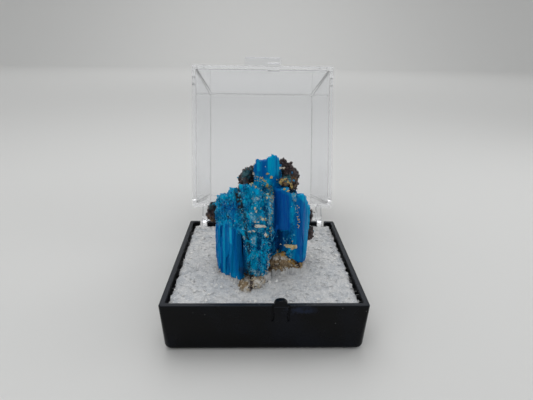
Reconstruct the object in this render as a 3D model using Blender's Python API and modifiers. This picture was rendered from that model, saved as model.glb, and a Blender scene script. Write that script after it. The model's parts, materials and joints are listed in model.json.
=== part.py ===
"""Chalcanthite crystals with their rock, on a foam pad in a small display box with a hinged clear lid.

The origin is the centre of the tray's underside, with +X to the right, +Y to the back and +Z up.
Lengths are in metres. Sizes are written in millimetres times MM. Places on the specimen are given
in millimetres as x, the distance behind the tray's front rim, and the height above that rim.
"""

import math
import random
from typing import NamedTuple

import bmesh
import bpy
from mathutils import Matrix, Vector, noise

MM = 0.001
GAP = 0.3 * MM

# Box: its upright corners are nearly sharp at the rim and rounder towards the closed end.
BOX_WIDTH = 31.75 * MM
TRAY_HEIGHT = 8.4 * MM
TRAY_WALL = 0.85 * MM
TRAY_DRAFT = 0.25 * MM
LID_HEIGHT = 27.0 * MM
LID_WALL = 0.95 * MM
LID_DRAFT = 0.5 * MM
CORNER_RADIUS = 1.2 * MM
RIM_CORNER_RADIUS = 0.35 * MM
CORNER_STEPS = 4
INSIDE_CORNER_SHARE = 0.7
INSIDE_CORNER_LEAST = 0.25 * MM
END_EDGE_RADIUS = 0.9 * MM
END_EDGE_STEPS = 3
SHARP_ANGLE = math.radians(30)

# Hinge: its axis runs along X behind the tray's rear wall, level with the rim. An ear and an arm
# each meet their wall between two heights. The heel's corners are given as it stands fully open.
PIVOT_BEHIND_WALL = 2.17 * MM
LID_OPEN_ANGLE = math.radians(107)
EAR_RADIUS = 1.6 * MM
EAR_INSIDE = 9.8 * MM
EAR_OUTSIDE = 11.0 * MM
EAR_ROOT = (-1.0 * MM, -3.4 * MM)
BORE_RADIUS = 0.85 * MM
PIN_RADIUS = 0.75 * MM
ARM_RADIUS = 1.4 * MM
ARM_INSIDE = 12.4 * MM
ARM_OUTSIDE = 13.4 * MM
ARM_ROOT = (-0.6 * MM, 2.6 * MM)
HEEL_RADIUS = 1.0 * MM
HEEL_FLAT = (-0.7 * MM, -2.0 * MM)
HEEL_TIP = (-0.9 * MM, -2.5 * MM)
BOSS_RADIUS = 1.25 * MM
NOTCH_WIDTH = 1.6 * MM
NOTCH_DEPTH = 1.3 * MM
ROUND_SIDES = 24

# Catch: a tab on the tray's front wall, and its slot in the lid's thumb lip
TAB_X = 2.4 * MM
TAB_WIDTH = 2.1 * MM
TAB_THICKNESS = 1.05 * MM
TAB_PROUD = 0.35 * MM
TAB_ABOVE_RIM = 1.0 * MM
TAB_BELOW_RIM = 2.8 * MM
TAB_CORNER_RADIUS = 0.75 * MM
TAB_EDGE = 0.15 * MM
LIP_WIDTH = 8.2 * MM
LIP_REACH = 1.9 * MM
LIP_THICKNESS = 1.0 * MM
LIP_SETBACK = 0.12 * MM
LIP_CORNER_RADIUS = 0.8 * MM

# Foam pad
FOAM_BELOW_RIM = 0.65 * MM
FOAM_SIDE_GAP = 0.3 * MM
SEAT_DEPTH = 0.75 * MM
FOAM_EDGE_RADIUS = 0.5 * MM

# Specimen: pairs are the least and the most of a random share or size, and those of a grain are in
# millimetres
COLUMN_SIDES = 7
COLUMN_LEAN = 0.07
COLUMN_TAPER = 0.92
COLUMN_UNEVENNESS = (0.86, 1.1)
TOP_SLANT_X = (-0.5, 0.5)
TOP_SLANT_Y = (-0.35, 0.15)
GRAIN_WIDTH = (0.3, 0.6)
GRAIN_LENGTH = (0.5, 1.0)
GRAIN_PINCH = (0.1, 0.45)
LUMP_UNEVENNESS = 0.22
LUMP_NOISE_SCALE = 1.7
BASE_THICKNESS = 0.5 * MM
CRUST_BACK = 14.2
JOIN_SPECK = 0.1 * MM
CRYSTAL_SEED = 11

BOX_HALF = BOX_WIDTH / 2
PIVOT = Vector((0, BOX_HALF + PIVOT_BEHIND_WALL, TRAY_HEIGHT))
FOAM_TOP = TRAY_HEIGHT - FOAM_BELOW_RIM
SEAT_FLOOR = FOAM_TOP - SEAT_DEPTH


class Stop(NamedTuple):
    """One point along a row of columns, in millimetres; spread is how far its top moves along X."""

    x: float
    behind: float
    foot: float
    top: float
    spread: float


class Row(NamedTuple):
    """Fluted columns of one bundle, set side by side along a line of stops."""

    stops: tuple
    radius: float
    count: int


class GrainField(NamedTuple):
    """Small crystals fused to the front of a row, between two heights in millimetres."""

    row: Row
    low: float
    high: float
    count: int


class Lump(NamedTuple):
    """One rounded, broken mass of rock or crust, in millimetres."""

    x: float
    behind: float
    height: float
    size: tuple
    detail: int = 1


LEFT_FRONT = Row(
    (
        Stop(-7.4, 11.6, -0.3, 10.6, -0.35),
        Stop(-7.0, 10.5, -0.3, 13.3, -0.1),
        Stop(-5.0, 8.8, -0.3, 14.5, -0.4),
        Stop(-3.9, 8.3, -0.3, 14.9, -0.9),
    ),
    radius=0.82,
    count=7,
)
LEFT_BACK = Row(
    (Stop(-6.2, 12.7, 0.5, 12.6, 0.0), Stop(-4.2, 11.0, 0.5, 14.1, -0.4)), radius=1.5, count=3
)
MIDDLE_FRONT = Row(
    (
        Stop(-1.9, 8.9, 0.4, 15.0, -2.0),
        Stop(-1.3, 8.4, 0.3, 15.9, -1.4),
        Stop(-0.5, 8.2, 0.3, 15.5, -0.7),
        Stop(0.1, 8.5, 1.2, 14.3, 0.1),
        Stop(0.6, 9.0, 3.0, 13.2, 0.3),
    ),
    radius=0.74,
    count=8,
)
MIDDLE_BACK = Row(
    (Stop(-1.6, 10.6, 1.0, 14.9, -1.2), Stop(0.1, 10.9, 2.6, 13.2, 0.2)), radius=1.4, count=3
)
DEEP_UPPER = Row((Stop(2.8, 11.6, 7.35, 14.5, 0.05),), radius=1.45, count=1)
DEEP_LOWER = Row(
    (Stop(2.2, 11.65, 3.7, 9.0, 0.0), Stop(3.5, 11.65, 3.4, 9.0, 0.0)), radius=1.1, count=2
)
RIGHT_FRONT = Row(
    (
        Stop(4.5, 10.9, 2.6, 13.7, 0.0),
        Stop(5.5, 10.6, 2.0, 13.8, 0.1),
        Stop(6.3, 11.2, 1.2, 13.3, 0.2),
        Stop(6.85, 12.2, 1.6, 11.2, 0.4),
    ),
    radius=0.78,
    count=6,
)
RIGHT_BACK = Row(
    (Stop(4.3, 13.0, 1.8, 13.0, 0.0), Stop(5.9, 13.2, 1.8, 12.6, 0.3)), radius=1.4, count=2
)
TOP_FRONT = Row(
    (
        Stop(-1.35, 13.3, 9.0, 18.2, 0.0),
        Stop(0.0, 13.0, 9.0, 18.9, 0.0),
        Stop(1.5, 13.1, 9.0, 19.7, 0.0),
        Stop(2.5, 13.7, 9.0, 18.0, 0.0),
    ),
    radius=0.68,
    count=7,
)
TOP_BACK = Row(
    (Stop(-0.7, 14.4, 9.0, 18.4, 0.0), Stop(1.6, 14.5, 9.0, 18.9, 0.0)), radius=1.1, count=2
)
HEART = Row(
    (Stop(-3.4, 12.4, 1.0, 11.5, 0.0), Stop(3.6, 13.0, 2.4, 11.5, 0.0)), radius=2.2, count=3
)
CRYSTAL_ROWS = (
    LEFT_FRONT,
    LEFT_BACK,
    MIDDLE_FRONT,
    MIDDLE_BACK,
    DEEP_UPPER,
    DEEP_LOWER,
    RIGHT_FRONT,
    RIGHT_BACK,
    TOP_FRONT,
    TOP_BACK,
    HEART,
)

GRAIN_FIELDS = (
    GrainField(LEFT_FRONT, 8.5, 14.8, 26),
    GrainField(MIDDLE_FRONT, 1.5, 15.4, 52),
    GrainField(TOP_FRONT, 12.6, 15.6, 10),
)

ROCK_LUMPS = (
    Lump(0.0, 17.0, 5.0, (6.4, 1.9, 6.0), detail=2),
    Lump(-4.6, 16.3, 6.2, (3.8, 2.2, 6.6), detail=2),
    Lump(4.5, 16.3, 6.0, (3.4, 2.2, 6.2), detail=2),
    Lump(0.8, 16.9, 13.0, (4.2, 1.9, 5.2), detail=2),
    Lump(4.0, 15.5, 15.2, (1.8, 2.0, 2.2), detail=2),
    Lump(3.2, 15.6, 17.0, (1.2, 1.3, 1.4)),
    Lump(4.6, 15.0, 15.6, (1.0, 1.1, 1.0)),
    Lump(4.7, 14.2, 14.1, (0.9, 1.1, 1.0)),
    Lump(3.7, 13.3, 15.0, (1.3, 1.0, 0.8)),
    Lump(-3.2, 15.3, 14.6, (1.2, 1.4, 2.3)),
    Lump(-2.9, 14.9, 16.1, (0.7, 0.8, 1.2)),
    Lump(-3.6, 14.0, 14.2, (0.8, 1.1, 1.4)),
    Lump(-7.8, 15.4, 8.6, (1.3, 1.6, 2.6)),
    Lump(-8.7, 14.1, 9.3, (1.2, 1.1, 1.4)),
    Lump(-9.0, 13.7, 8.6, (0.9, 0.8, 0.9)),
    Lump(-8.7, 13.9, 10.5, (0.6, 0.7, 0.8)),
    Lump(7.5, 14.7, 8.8, (1.1, 1.3, 1.6)),
    Lump(7.7, 14.5, 5.4, (1.0, 1.3, 1.5)),
    Lump(-3.6, 17.2, 0.6, (3.6, 1.6, 2.2), detail=2),
    Lump(3.6, 17.2, 0.4, (3.6, 1.6, 2.0), detail=2),
)

CRUST_LUMPS = (
    Lump(1.6, 11.3, 1.4, (1.4, 1.5, 2.3), detail=2),
    Lump(3.3, 11.5, 1.2, (1.6, 1.5, 2.3), detail=2),
    Lump(5.2, 11.7, 0.4, (1.6, 1.4, 1.8), detail=2),
    Lump(6.1, 11.9, -0.2, (0.9, 1.2, 1.1)),
    Lump(1.0, 10.7, 0.2, (0.8, 0.9, 0.9)),
    Lump(-2.9, 5.6, -0.5, (0.9, 1.1, 0.9)),
    Lump(-1.6, 6.5, -0.3, (1.2, 1.1, 0.9)),
    Lump(-0.6, 7.3, -0.2, (0.8, 1.1, 0.8)),
    Lump(-3.5, 6.7, -0.6, (0.6, 1.0, 0.7)),
)

# Outlines as x and distance behind the rim: the crust's thin base, and the seat that the specimen
# presses into the foam, a little larger all round
BASE_OUTLINE = (
    (-7.4, 12.8),
    (-5.6, 10.6),
    (-4.2, 9.0),
    (-3.8, 6.6),
    (-2.8, 5.6),
    (-1.6, 6.4),
    (-0.6, 8.4),
    (1.0, 10.8),
    (6.4, 11.2),
    (7.2, 12.8),
    (7.2, 14.4),
    (-7.2, 14.4),
)
SEAT_OUTLINE = (
    (-7.9, 12.8),
    (-6.0, 10.2),
    (-4.7, 8.7),
    (-4.6, 6.4),
    (-4.2, 4.9),
    (-3.3, 3.95),
    (-2.1, 4.0),
    (-0.7, 5.0),
    (0.5, 6.0),
    (0.8, 8.0),
    (1.1, 9.6),
    (7.1, 9.9),
    (8.0, 12.4),
    (8.4, 16.0),
    (7.6, 19.3),
    (-7.6, 19.3),
    (-8.5, 16.0),
)


def clear_scene():
    """Remove every object of the open scene."""
    for obj in list(bpy.data.objects):
        bpy.data.objects.remove(obj, do_unlink=True)


def new_collection(name, hidden=False):
    """Make a collection under the scene; a hidden one holds cutters."""
    collection = bpy.data.collections.new(name)
    bpy.context.scene.collection.children.link(collection)
    collection.hide_render = hidden
    return collection


def new_material(name, colour, roughness, transmission=0.0, ior=1.5):
    """Make a plain Principled material for one piece."""
    material = bpy.data.materials.new(name)
    material.use_nodes = True
    shader = material.node_tree.nodes["Principled BSDF"]
    shader.inputs["Base Color"].default_value = (*colour, 1.0)
    shader.inputs["Roughness"].default_value = roughness
    shader.inputs["Metallic"].default_value = 0.0
    shader.inputs["Transmission Weight"].default_value = transmission
    shader.inputs["IOR"].default_value = ior
    return material


def place(x, behind, height):
    """Turn a place on the specimen, in millimetres, into a point of the row's frame."""
    return Vector((x * MM, behind * MM - BOX_HALF, height * MM + TRAY_HEIGHT))


def new_object(name, bm, collection, material=None, parent=None):
    """Make an object from a bmesh, and free the bmesh."""
    bmesh.ops.recalc_face_normals(bm, faces=bm.faces)
    mesh = bpy.data.meshes.new(name)
    bm.to_mesh(mesh)
    bm.free()
    obj = bpy.data.objects.new(name, mesh)
    collection.objects.link(obj)
    obj.parent = parent
    if material:
        mesh.materials.append(material)
    return obj


def new_cutter(name, bm, cutters, parent=None):
    """Make a helper object for a Boolean, shown as wire and never rendered."""
    cutter = new_object(name, bm, cutters, parent=parent)
    cutter.hide_render = True
    cutter.display_type = "WIRE"
    return cutter


def add_boolean(obj, operation, other, self_union=False):
    """Join another object to this one, or cut it away, with the exact solver."""
    modifier = obj.modifiers.new(f"{operation.title()} {other.name}", "BOOLEAN")
    modifier.operation = operation
    modifier.solver = "EXACT"
    modifier.use_self = self_union
    modifier.object = other


def apply_modifiers(obj):
    """Give the object the mesh that its modifiers make, and remove them."""
    bpy.context.view_layer.update()
    evaluated = obj.evaluated_get(bpy.context.evaluated_depsgraph_get())
    mesh = bpy.data.meshes.new_from_object(evaluated)
    obj.modifiers.clear()
    obj.data = mesh


def shade_round(obj):
    """Shade the round stretches smooth, with every clear edge kept sharp."""
    apply_modifiers(obj)
    obj.data.shade_smooth()
    obj.data.set_sharp_from_angle(angle=SHARP_ANGLE)


def add_block(bm, low, high):
    """Add a block between two corners, and return its vertices."""
    middle = (Vector(low) + Vector(high)) / 2
    size = Vector(high) - Vector(low)
    matrix = Matrix.Translation(middle) @ Matrix.Diagonal((*size, 1.0))
    return bmesh.ops.create_cube(bm, size=1.0, matrix=matrix)["verts"]


def add_bar(bm, radius, start_x, end_x):
    """Add a round bar along X through the origin."""
    matrix = Matrix.Translation(((start_x + end_x) / 2, 0, 0)) @ Matrix.Rotation(math.pi / 2, 4, "Y")
    bmesh.ops.create_cone(
        bm,
        cap_ends=True,
        segments=ROUND_SIDES,
        radius1=radius,
        radius2=radius,
        depth=abs(end_x - start_x),
        matrix=matrix,
    )


def add_hull_plate(bm, radius, corners, start_x, end_x):
    """Add a plate across X: the hull of a round end at the pivot and of some corners."""
    step = 2 * math.pi / ROUND_SIDES
    ring = [(radius * math.cos(i * step), radius * math.sin(i * step)) for i in range(ROUND_SIDES)]
    verts = [bm.verts.new((x, y, z)) for x in (start_x, end_x) for y, z in [*ring, *corners]]
    hull = bmesh.ops.convex_hull(bm, input=verts)
    inside = [vert for vert in hull["geom_interior"] if isinstance(vert, bmesh.types.BMVert)]
    bmesh.ops.delete(bm, geom=inside, context="VERTS")
    flat = [edge for edge in bm.edges if edge.is_manifold and edge.calc_face_angle(1) < 1e-4]
    bmesh.ops.dissolve_edges(bm, edges=flat, use_verts=False)


def add_ring(bm, half_width, radius, z):
    """Add the points of a rounded square round the Z axis."""
    middle = half_width - radius
    ring = []
    for quarter in range(4):
        x = middle if quarter in (0, 3) else -middle
        y = middle if quarter in (0, 1) else -middle
        for step in range(CORNER_STEPS + 1):
            angle = math.radians(90 * (quarter + step / CORNER_STEPS))
            corner = (x + radius * math.cos(angle), y + radius * math.sin(angle), z)
            ring.append(bm.verts.new(corner))
    return ring


def drafted_shell(rim_width, end_width, height, end_z, collection, name, material, wall, parent=None):
    """Make a square moulded shell, open at z = 0 and closed at end_z, its faces looking outwards."""
    turns = [math.radians(90 * step / END_EDGE_STEPS) for step in range(END_EDGE_STEPS + 1)]
    rounding = [
        (height - END_EDGE_RADIUS * (1 - math.cos(turn)), END_EDGE_RADIUS * (1 - math.sin(turn)))
        for turn in turns
    ]
    section = [*rounding, (0.0, 0.0), (0.0, wall), (height - wall, wall)]
    bm = bmesh.new()
    rings = []
    for depth, inset in section:
        share = depth / height
        half_width = (rim_width + (end_width - rim_width) * share) / 2 - inset
        corner = RIM_CORNER_RADIUS + (CORNER_RADIUS - RIM_CORNER_RADIUS) * share
        radius = max(corner - INSIDE_CORNER_SHARE * inset, INSIDE_CORNER_LEAST)
        rings.append(add_ring(bm, half_width, radius, end_z * share))
    for ring, following in zip(rings, rings[1:]):
        for index in range(len(ring)):
            after = (index + 1) % len(ring)
            bm.faces.new((ring[index], ring[after], following[after], following[index]))
    bm.faces.new(rings[0])
    bm.faces.new(rings[-1])
    return new_object(name, bm, collection, material, parent)


def make_tray(collection, cutters):
    """Make the black tray with its catch tab, hinge ears and rear notches."""
    material = new_material("tray_black_plastic", (0.012, 0.012, 0.014), 0.16)
    end_width = BOX_WIDTH - 2 * TRAY_DRAFT
    tray = drafted_shell(
        BOX_WIDTH, end_width, TRAY_HEIGHT, -TRAY_HEIGHT, collection, "tray", material, TRAY_WALL
    )
    tray.location = (0, 0, TRAY_HEIGHT)
    for side in (-1, 1):
        add_boolean(tray, "UNION", make_ear(cutters, side))
    add_boolean(tray, "UNION", make_tab(cutters))
    bm = bmesh.new()
    add_bar(bm, BORE_RADIUS, -BOX_HALF, BOX_HALF)
    bore = new_cutter("hinge_bores", bm, cutters)
    bore.location = PIVOT
    add_boolean(tray, "DIFFERENCE", bore)
    bm = bmesh.new()
    notch_x = (ARM_INSIDE + ARM_OUTSIDE) / 2
    for side in (-1, 1):
        add_block(
            bm,
            (side * notch_x - NOTCH_WIDTH / 2, BOX_HALF - 2 * TRAY_WALL, TRAY_HEIGHT - NOTCH_DEPTH),
            (side * notch_x + NOTCH_WIDTH / 2, BOX_HALF + TRAY_WALL, TRAY_HEIGHT + TRAY_WALL),
        )
    add_boolean(tray, "DIFFERENCE", new_cutter("rim_notches", bm, cutters))
    shade_round(tray)
    return tray


def side_name(name, side):
    """Name one of a left and right pair."""
    return f"{name}_{'left' if side < 0 else 'right'}"


def make_ear(cutters, side):
    """Make one hinge ear, from round the pivot down to the tray's rear wall."""
    bm = bmesh.new()
    root = -PIVOT_BEHIND_WALL - TRAY_WALL / 2
    corners = [(root, height) for height in EAR_ROOT]
    add_hull_plate(bm, EAR_RADIUS, corners, side * EAR_INSIDE, side * EAR_OUTSIDE)
    ear = new_cutter(side_name("ear", side), bm, cutters)
    ear.location = PIVOT
    return ear


def make_tab(cutters):
    """Make the round-ended catch tab that stands on the tray's front wall."""
    bm = bmesh.new()
    front = -BOX_HALF - TAB_PROUD
    add_block(
        bm,
        (TAB_X - TAB_WIDTH / 2, front, TRAY_HEIGHT - TAB_BELOW_RIM),
        (TAB_X + TAB_WIDTH / 2, front + TAB_THICKNESS, TRAY_HEIGHT + TAB_ABOVE_RIM),
    )
    through = [edge for edge in bm.edges if abs(edge.verts[0].co.y - edge.verts[1].co.y) > TAB_PROUD]
    corner = TAB_CORNER_RADIUS
    bmesh.ops.bevel(bm, geom=through, offset=corner, segments=4, profile=0.5, affect="EDGES")
    face_edges = [edge for edge in bm.edges if all(abs(v.co.y - front) < 1e-6 for v in edge.verts)]
    bmesh.ops.bevel(bm, geom=face_edges, offset=TAB_EDGE, segments=1, profile=0.5, affect="EDGES")
    return new_cutter("catch_tab", bm, cutters)


def make_lid(collection, cutters):
    """Make the clear lid about its hinge pivot, modelled closed and turned open by its parent."""
    pivot = bpy.data.objects.new("lid_pivot", None)
    collection.objects.link(pivot)
    pivot.location = PIVOT
    pivot.rotation_euler = (-LID_OPEN_ANGLE, 0, 0)
    material = new_material("lid_clear_plastic", (0.93, 0.93, 0.94), 0.04, transmission=1.0, ior=1.49)
    lid = drafted_shell(
        BOX_WIDTH,
        BOX_WIDTH - 2 * LID_DRAFT,
        LID_HEIGHT,
        LID_HEIGHT,
        collection,
        "lid",
        material,
        LID_WALL,
        parent=pivot,
    )
    shift = Vector((0, -BOX_HALF - PIVOT_BEHIND_WALL, GAP))
    lid.data.transform(Matrix.Translation(shift))
    add_boolean(lid, "UNION", make_lip(cutters, pivot))
    for side in (-1, 1):
        add_boolean(lid, "UNION", make_arm(cutters, pivot, side))
        add_boolean(lid, "UNION", make_stop(cutters, pivot, side))
        add_boolean(lid, "UNION", make_boss(cutters, pivot, side))
        add_boolean(lid, "UNION", make_pin(cutters, pivot, side))
    bm = bmesh.new()
    wall_front = -BOX_WIDTH - PIVOT_BEHIND_WALL
    add_block(
        bm,
        (TAB_X - TAB_WIDTH / 2 - GAP, wall_front - TAB_PROUD - GAP, -GAP),
        (TAB_X + TAB_WIDTH / 2 + GAP, wall_front + 2 * LID_WALL, TAB_ABOVE_RIM + GAP),
    )
    add_boolean(lid, "DIFFERENCE", new_cutter("tab_slot", bm, cutters, pivot))
    shade_round(lid)
    return lid


def make_lip(cutters, pivot):
    """Make the thumb lip that stands out from the lid's front wall."""
    bm = bmesh.new()
    wall_front = -BOX_WIDTH - PIVOT_BEHIND_WALL
    add_block(
        bm,
        (-LIP_WIDTH / 2, wall_front - LIP_REACH, GAP + LIP_SETBACK),
        (LIP_WIDTH / 2, wall_front + LID_WALL / 2, GAP + LIP_SETBACK + LIP_THICKNESS),
    )
    outer = wall_front - LIP_REACH
    corners = [
        edge
        for edge in bm.edges
        if abs(edge.verts[0].co.z - edge.verts[1].co.z) > GAP and edge.verts[0].co.y < outer + GAP
    ]
    corner = LIP_CORNER_RADIUS
    bmesh.ops.bevel(bm, geom=corners, offset=corner, segments=3, profile=0.5, affect="EDGES")
    return new_cutter("thumb_lip", bm, cutters, pivot)


def make_arm(cutters, pivot, side):
    """Make one hinge arm, from the pin to the lid's rear wall."""
    bm = bmesh.new()
    root = -PIVOT_BEHIND_WALL - 0.75 * LID_WALL
    corners = [(root, height) for height in ARM_ROOT]
    add_hull_plate(bm, ARM_RADIUS, corners, side * ARM_INSIDE, side * ARM_OUTSIDE)
    return new_cutter(side_name("arm", side), bm, cutters, pivot)


def make_stop(cutters, pivot, side):
    """Make one heel, whose flat meets the tray's rear wall when the lid is fully open."""
    bm = bmesh.new()
    flat_y = -PIVOT_BEHIND_WALL + GAP
    open_corners = [*((flat_y, height) for height in HEEL_FLAT), HEEL_TIP]
    turn = Matrix.Rotation(LID_OPEN_ANGLE, 2)
    corners = [tuple(turn @ Vector(corner)) for corner in open_corners]
    add_hull_plate(bm, HEEL_RADIUS, corners, side * ARM_INSIDE, side * ARM_OUTSIDE)
    return new_cutter(side_name("heel", side), bm, cutters, pivot)


def make_pin(cutters, pivot, side):
    """Make one hinge pin, from its arm inwards through the tray's ear."""
    bm = bmesh.new()
    add_bar(bm, PIN_RADIUS, side * (EAR_INSIDE - GAP), side * (ARM_INSIDE + GAP))
    return new_cutter(side_name("pin", side), bm, cutters, pivot)


def make_boss(cutters, pivot, side):
    """Make the boss that carries a pin from its arm up to the tray's ear."""
    bm = bmesh.new()
    add_bar(bm, BOSS_RADIUS, side * (EAR_OUTSIDE + GAP), side * (ARM_INSIDE + GAP))
    return new_cutter(side_name("boss", side), bm, cutters, pivot)


def add_outline_prism(bm, outline, low_z, high_z):
    """Add an upright prism over an outline."""
    points = [place(x, behind, 0) for x, behind in outline]
    face = bm.faces.new([bm.verts.new((point.x, point.y, low_z)) for point in points])
    raised = bmesh.ops.extrude_face_region(bm, geom=[face])["geom"]
    top = [item for item in raised if isinstance(item, bmesh.types.BMVert)]
    bmesh.ops.translate(bm, verts=top, vec=(0, 0, high_z - low_z))


def make_foam_pad(collection, cutters):
    """Make the foam block that fills the tray, with the seat pressed into it."""
    material = new_material("foam_pale_grey", (0.68, 0.69, 0.70), 0.9)
    top_half = BOX_HALF - TRAY_WALL - FOAM_SIDE_GAP
    bottom_half = top_half - TRAY_DRAFT
    floor_z = TRAY_WALL + GAP
    bm = bmesh.new()
    for vert in add_block(bm, (-1, -1, floor_z), (1, 1, FOAM_TOP)):
        vert.co.xy *= bottom_half if vert.co.z < TRAY_HEIGHT / 2 else top_half
    pad = new_object("foam_pad", bm, collection, material)
    rounding = pad.modifiers.new("Rounded edges", "BEVEL")
    rounding.width = FOAM_EDGE_RADIUS
    rounding.segments = 2
    bm = bmesh.new()
    add_outline_prism(bm, SEAT_OUTLINE, SEAT_FLOOR, FOAM_TOP + FOAM_BELOW_RIM)
    add_boolean(pad, "DIFFERENCE", new_cutter("seat", bm, cutters))
    return pad


def stop_at(row, share):
    """Return the stop at a share of the way along a row, from 0 to 1."""
    position = share * (len(row.stops) - 1)
    first = min(int(position), max(len(row.stops) - 2, 0))
    last = min(first + 1, len(row.stops) - 1)
    pair = zip(row.stops[first], row.stops[last])
    return Stop(*(a + (b - a) * (position - first) for a, b in pair))


def columns_of(row):
    """Spread the columns of a row evenly along its stops."""
    return [stop_at(row, index / max(row.count - 1, 1)) for index in range(row.count)]


def add_column(bm, spot, radius, grow, rng):
    """Add one crystal column: a tapered prism with uneven flat sides and a slanted broken top."""
    foot = place(spot.x, spot.behind, spot.foot)
    foot.z -= grow
    height = (spot.top - spot.foot) * MM + 2 * grow
    reach = radius * MM + grow
    column = bmesh.ops.create_cone(
        bm,
        cap_ends=True,
        segments=COLUMN_SIDES,
        radius1=reach,
        radius2=reach * COLUMN_TAPER,
        depth=height,
        matrix=Matrix.Rotation(rng.uniform(0, math.tau), 4, "Z"),
    )["verts"]
    slant = (rng.uniform(*TOP_SLANT_X), rng.uniform(*TOP_SLANT_Y))
    jitter = {}
    for vert in column:
        sector = round(math.atan2(vert.co.y, vert.co.x) * 100)
        if sector not in jitter:
            jitter[sector] = rng.uniform(*COLUMN_UNEVENNESS)
        vert.co.xy *= jitter[sector]
        if vert.co.z > 0:
            vert.co.z += slant[0] * vert.co.x + slant[1] * vert.co.y
        vert.co.z += height / 2
        vert.co.x += spot.spread * MM * vert.co.z / height
        vert.co.y += COLUMN_LEAN * vert.co.z
        vert.co += foot


def add_grain(bm, field, grow, rng):
    """Add one small block crystal, half sunk in the front of its row."""
    spot = stop_at(field.row, rng.random())
    height = rng.uniform(field.low, min(field.high, spot.top - 0.4))
    climb = (height - spot.foot) / (spot.top - spot.foot)
    axis = place(spot.x + spot.spread * climb, spot.behind, height)
    axis.y += COLUMN_LEAN * (height - spot.foot) * MM
    around = rng.uniform(-1.0, 1.0)
    reach = field.row.radius * MM * 0.9
    centre = axis + Vector((math.sin(around), -math.cos(around), 0)) * reach
    turn = Matrix.Rotation(rng.uniform(0, math.pi), 4, Vector((rng.random(), rng.random(), 1.0)))
    ranges = (GRAIN_WIDTH, GRAIN_WIDTH, GRAIN_LENGTH)
    size = [rng.uniform(*least_and_most) * MM + 2 * grow for least_and_most in ranges]
    matrix = Matrix.Translation(centre) @ turn @ Matrix.Diagonal((*size, 1.0))
    block = bmesh.ops.create_cube(bm, size=1.0, matrix=matrix)["verts"]
    for vert in block[:2]:
        vert.co = vert.co.lerp(centre, rng.uniform(*GRAIN_PINCH))


def add_crystals(bm, grow=0.0):
    """Add every column of every bundle, each shell overlapping its neighbours."""
    rng = random.Random(CRYSTAL_SEED)
    for row in CRYSTAL_ROWS:
        for spot in columns_of(row):
            add_column(bm, spot, row.radius, grow, rng)
    for field in GRAIN_FIELDS:
        for _ in range(field.count):
            add_grain(bm, field, grow, rng)


def add_lump(bm, lump, seed):
    """Add one lump: a coarse ball stretched to size, its corners moved in and out."""
    ball = bmesh.ops.create_icosphere(bm, subdivisions=lump.detail, radius=1.0)["verts"]
    centre = place(lump.x, lump.behind, lump.height)
    offset = Vector((seed * 7.3, seed * 2.9, seed * 5.1))
    for vert in ball:
        push = 1.0 + LUMP_UNEVENNESS * noise.noise(vert.co * LUMP_NOISE_SCALE + offset)
        vert.co = centre + Vector([c * s * MM * push for c, s in zip(vert.co, lump.size)])


def self_union(name, bm, collection, cutters, material):
    """Make one closed body from overlapping closed shells."""
    body = new_object(name, bm, collection, material)
    speck = bmesh.new()
    first = body.data.vertices[0].co
    centre = sum((vert.co for vert in body.data.vertices), Vector()) / len(body.data.vertices)
    inner = first.lerp(centre, 0.05)
    bmesh.ops.create_cube(speck, size=JOIN_SPECK, matrix=Matrix.Translation(inner))
    add_boolean(body, "UNION", new_cutter(f"{name}_join", speck, cutters), self_union=True)
    return body


def connected_parts(bm):
    """Return the mesh's connected parts, each as a list of vertices."""
    waiting = set(bm.verts)
    parts = []
    while waiting:
        part = [waiting.pop()]
        for vert in part:
            near = {edge.other_vert(vert) for edge in vert.link_edges} & waiting
            waiting -= near
            part.extend(near)
        parts.append(part)
    return parts


def drop_crumbs(obj):
    """Apply the Booleans, and keep only the main body: no crumbs cut loose, no closed hollows."""
    apply_modifiers(obj)
    bm = bmesh.new()
    bm.from_mesh(obj.data)
    crumbs = sorted(connected_parts(bm), key=len)[:-1]
    bmesh.ops.delete(bm, geom=[vert for part in crumbs for vert in part], context="VERTS")
    bm.to_mesh(obj.data)
    bm.free()


def make_chalcanthite(collection, cutters):
    """Make the blue crystals, grown together in one body."""
    material = new_material("chalcanthite_blue", (0.0, 0.12, 0.42), 0.3)
    bm = bmesh.new()
    add_crystals(bm)
    crystals = self_union("chalcanthite", bm, collection, cutters, material)
    drop_crumbs(crystals)
    return crystals


def make_clearance(cutters):
    """Make the crystals again, a gap larger all round, to cut the rock and the crust with."""
    bm = bmesh.new()
    add_crystals(bm, grow=GAP)
    clearance = self_union("crystal_clearance", bm, cutters, cutters, None)
    clearance.hide_render = True
    clearance.display_type = "WIRE"
    return clearance


def make_rock(collection, cutters, clearance):
    """Make the dark host rock behind the crystals."""
    material = new_material("host_rock_brown", (0.045, 0.03, 0.026), 0.75)
    bm = bmesh.new()
    for seed, lump in enumerate(ROCK_LUMPS):
        add_lump(bm, lump, seed)
    rock = self_union("host_rock", bm, collection, cutters, material)
    add_boolean(rock, "DIFFERENCE", clearance)
    bm = bmesh.new()
    wide = 3 * BOX_WIDTH
    add_block(bm, (-wide, -wide, -wide), (wide, wide, SEAT_FLOOR + GAP))
    add_boolean(rock, "DIFFERENCE", new_cutter("below_rock", bm, cutters))
    drop_crumbs(rock)
    return rock


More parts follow.
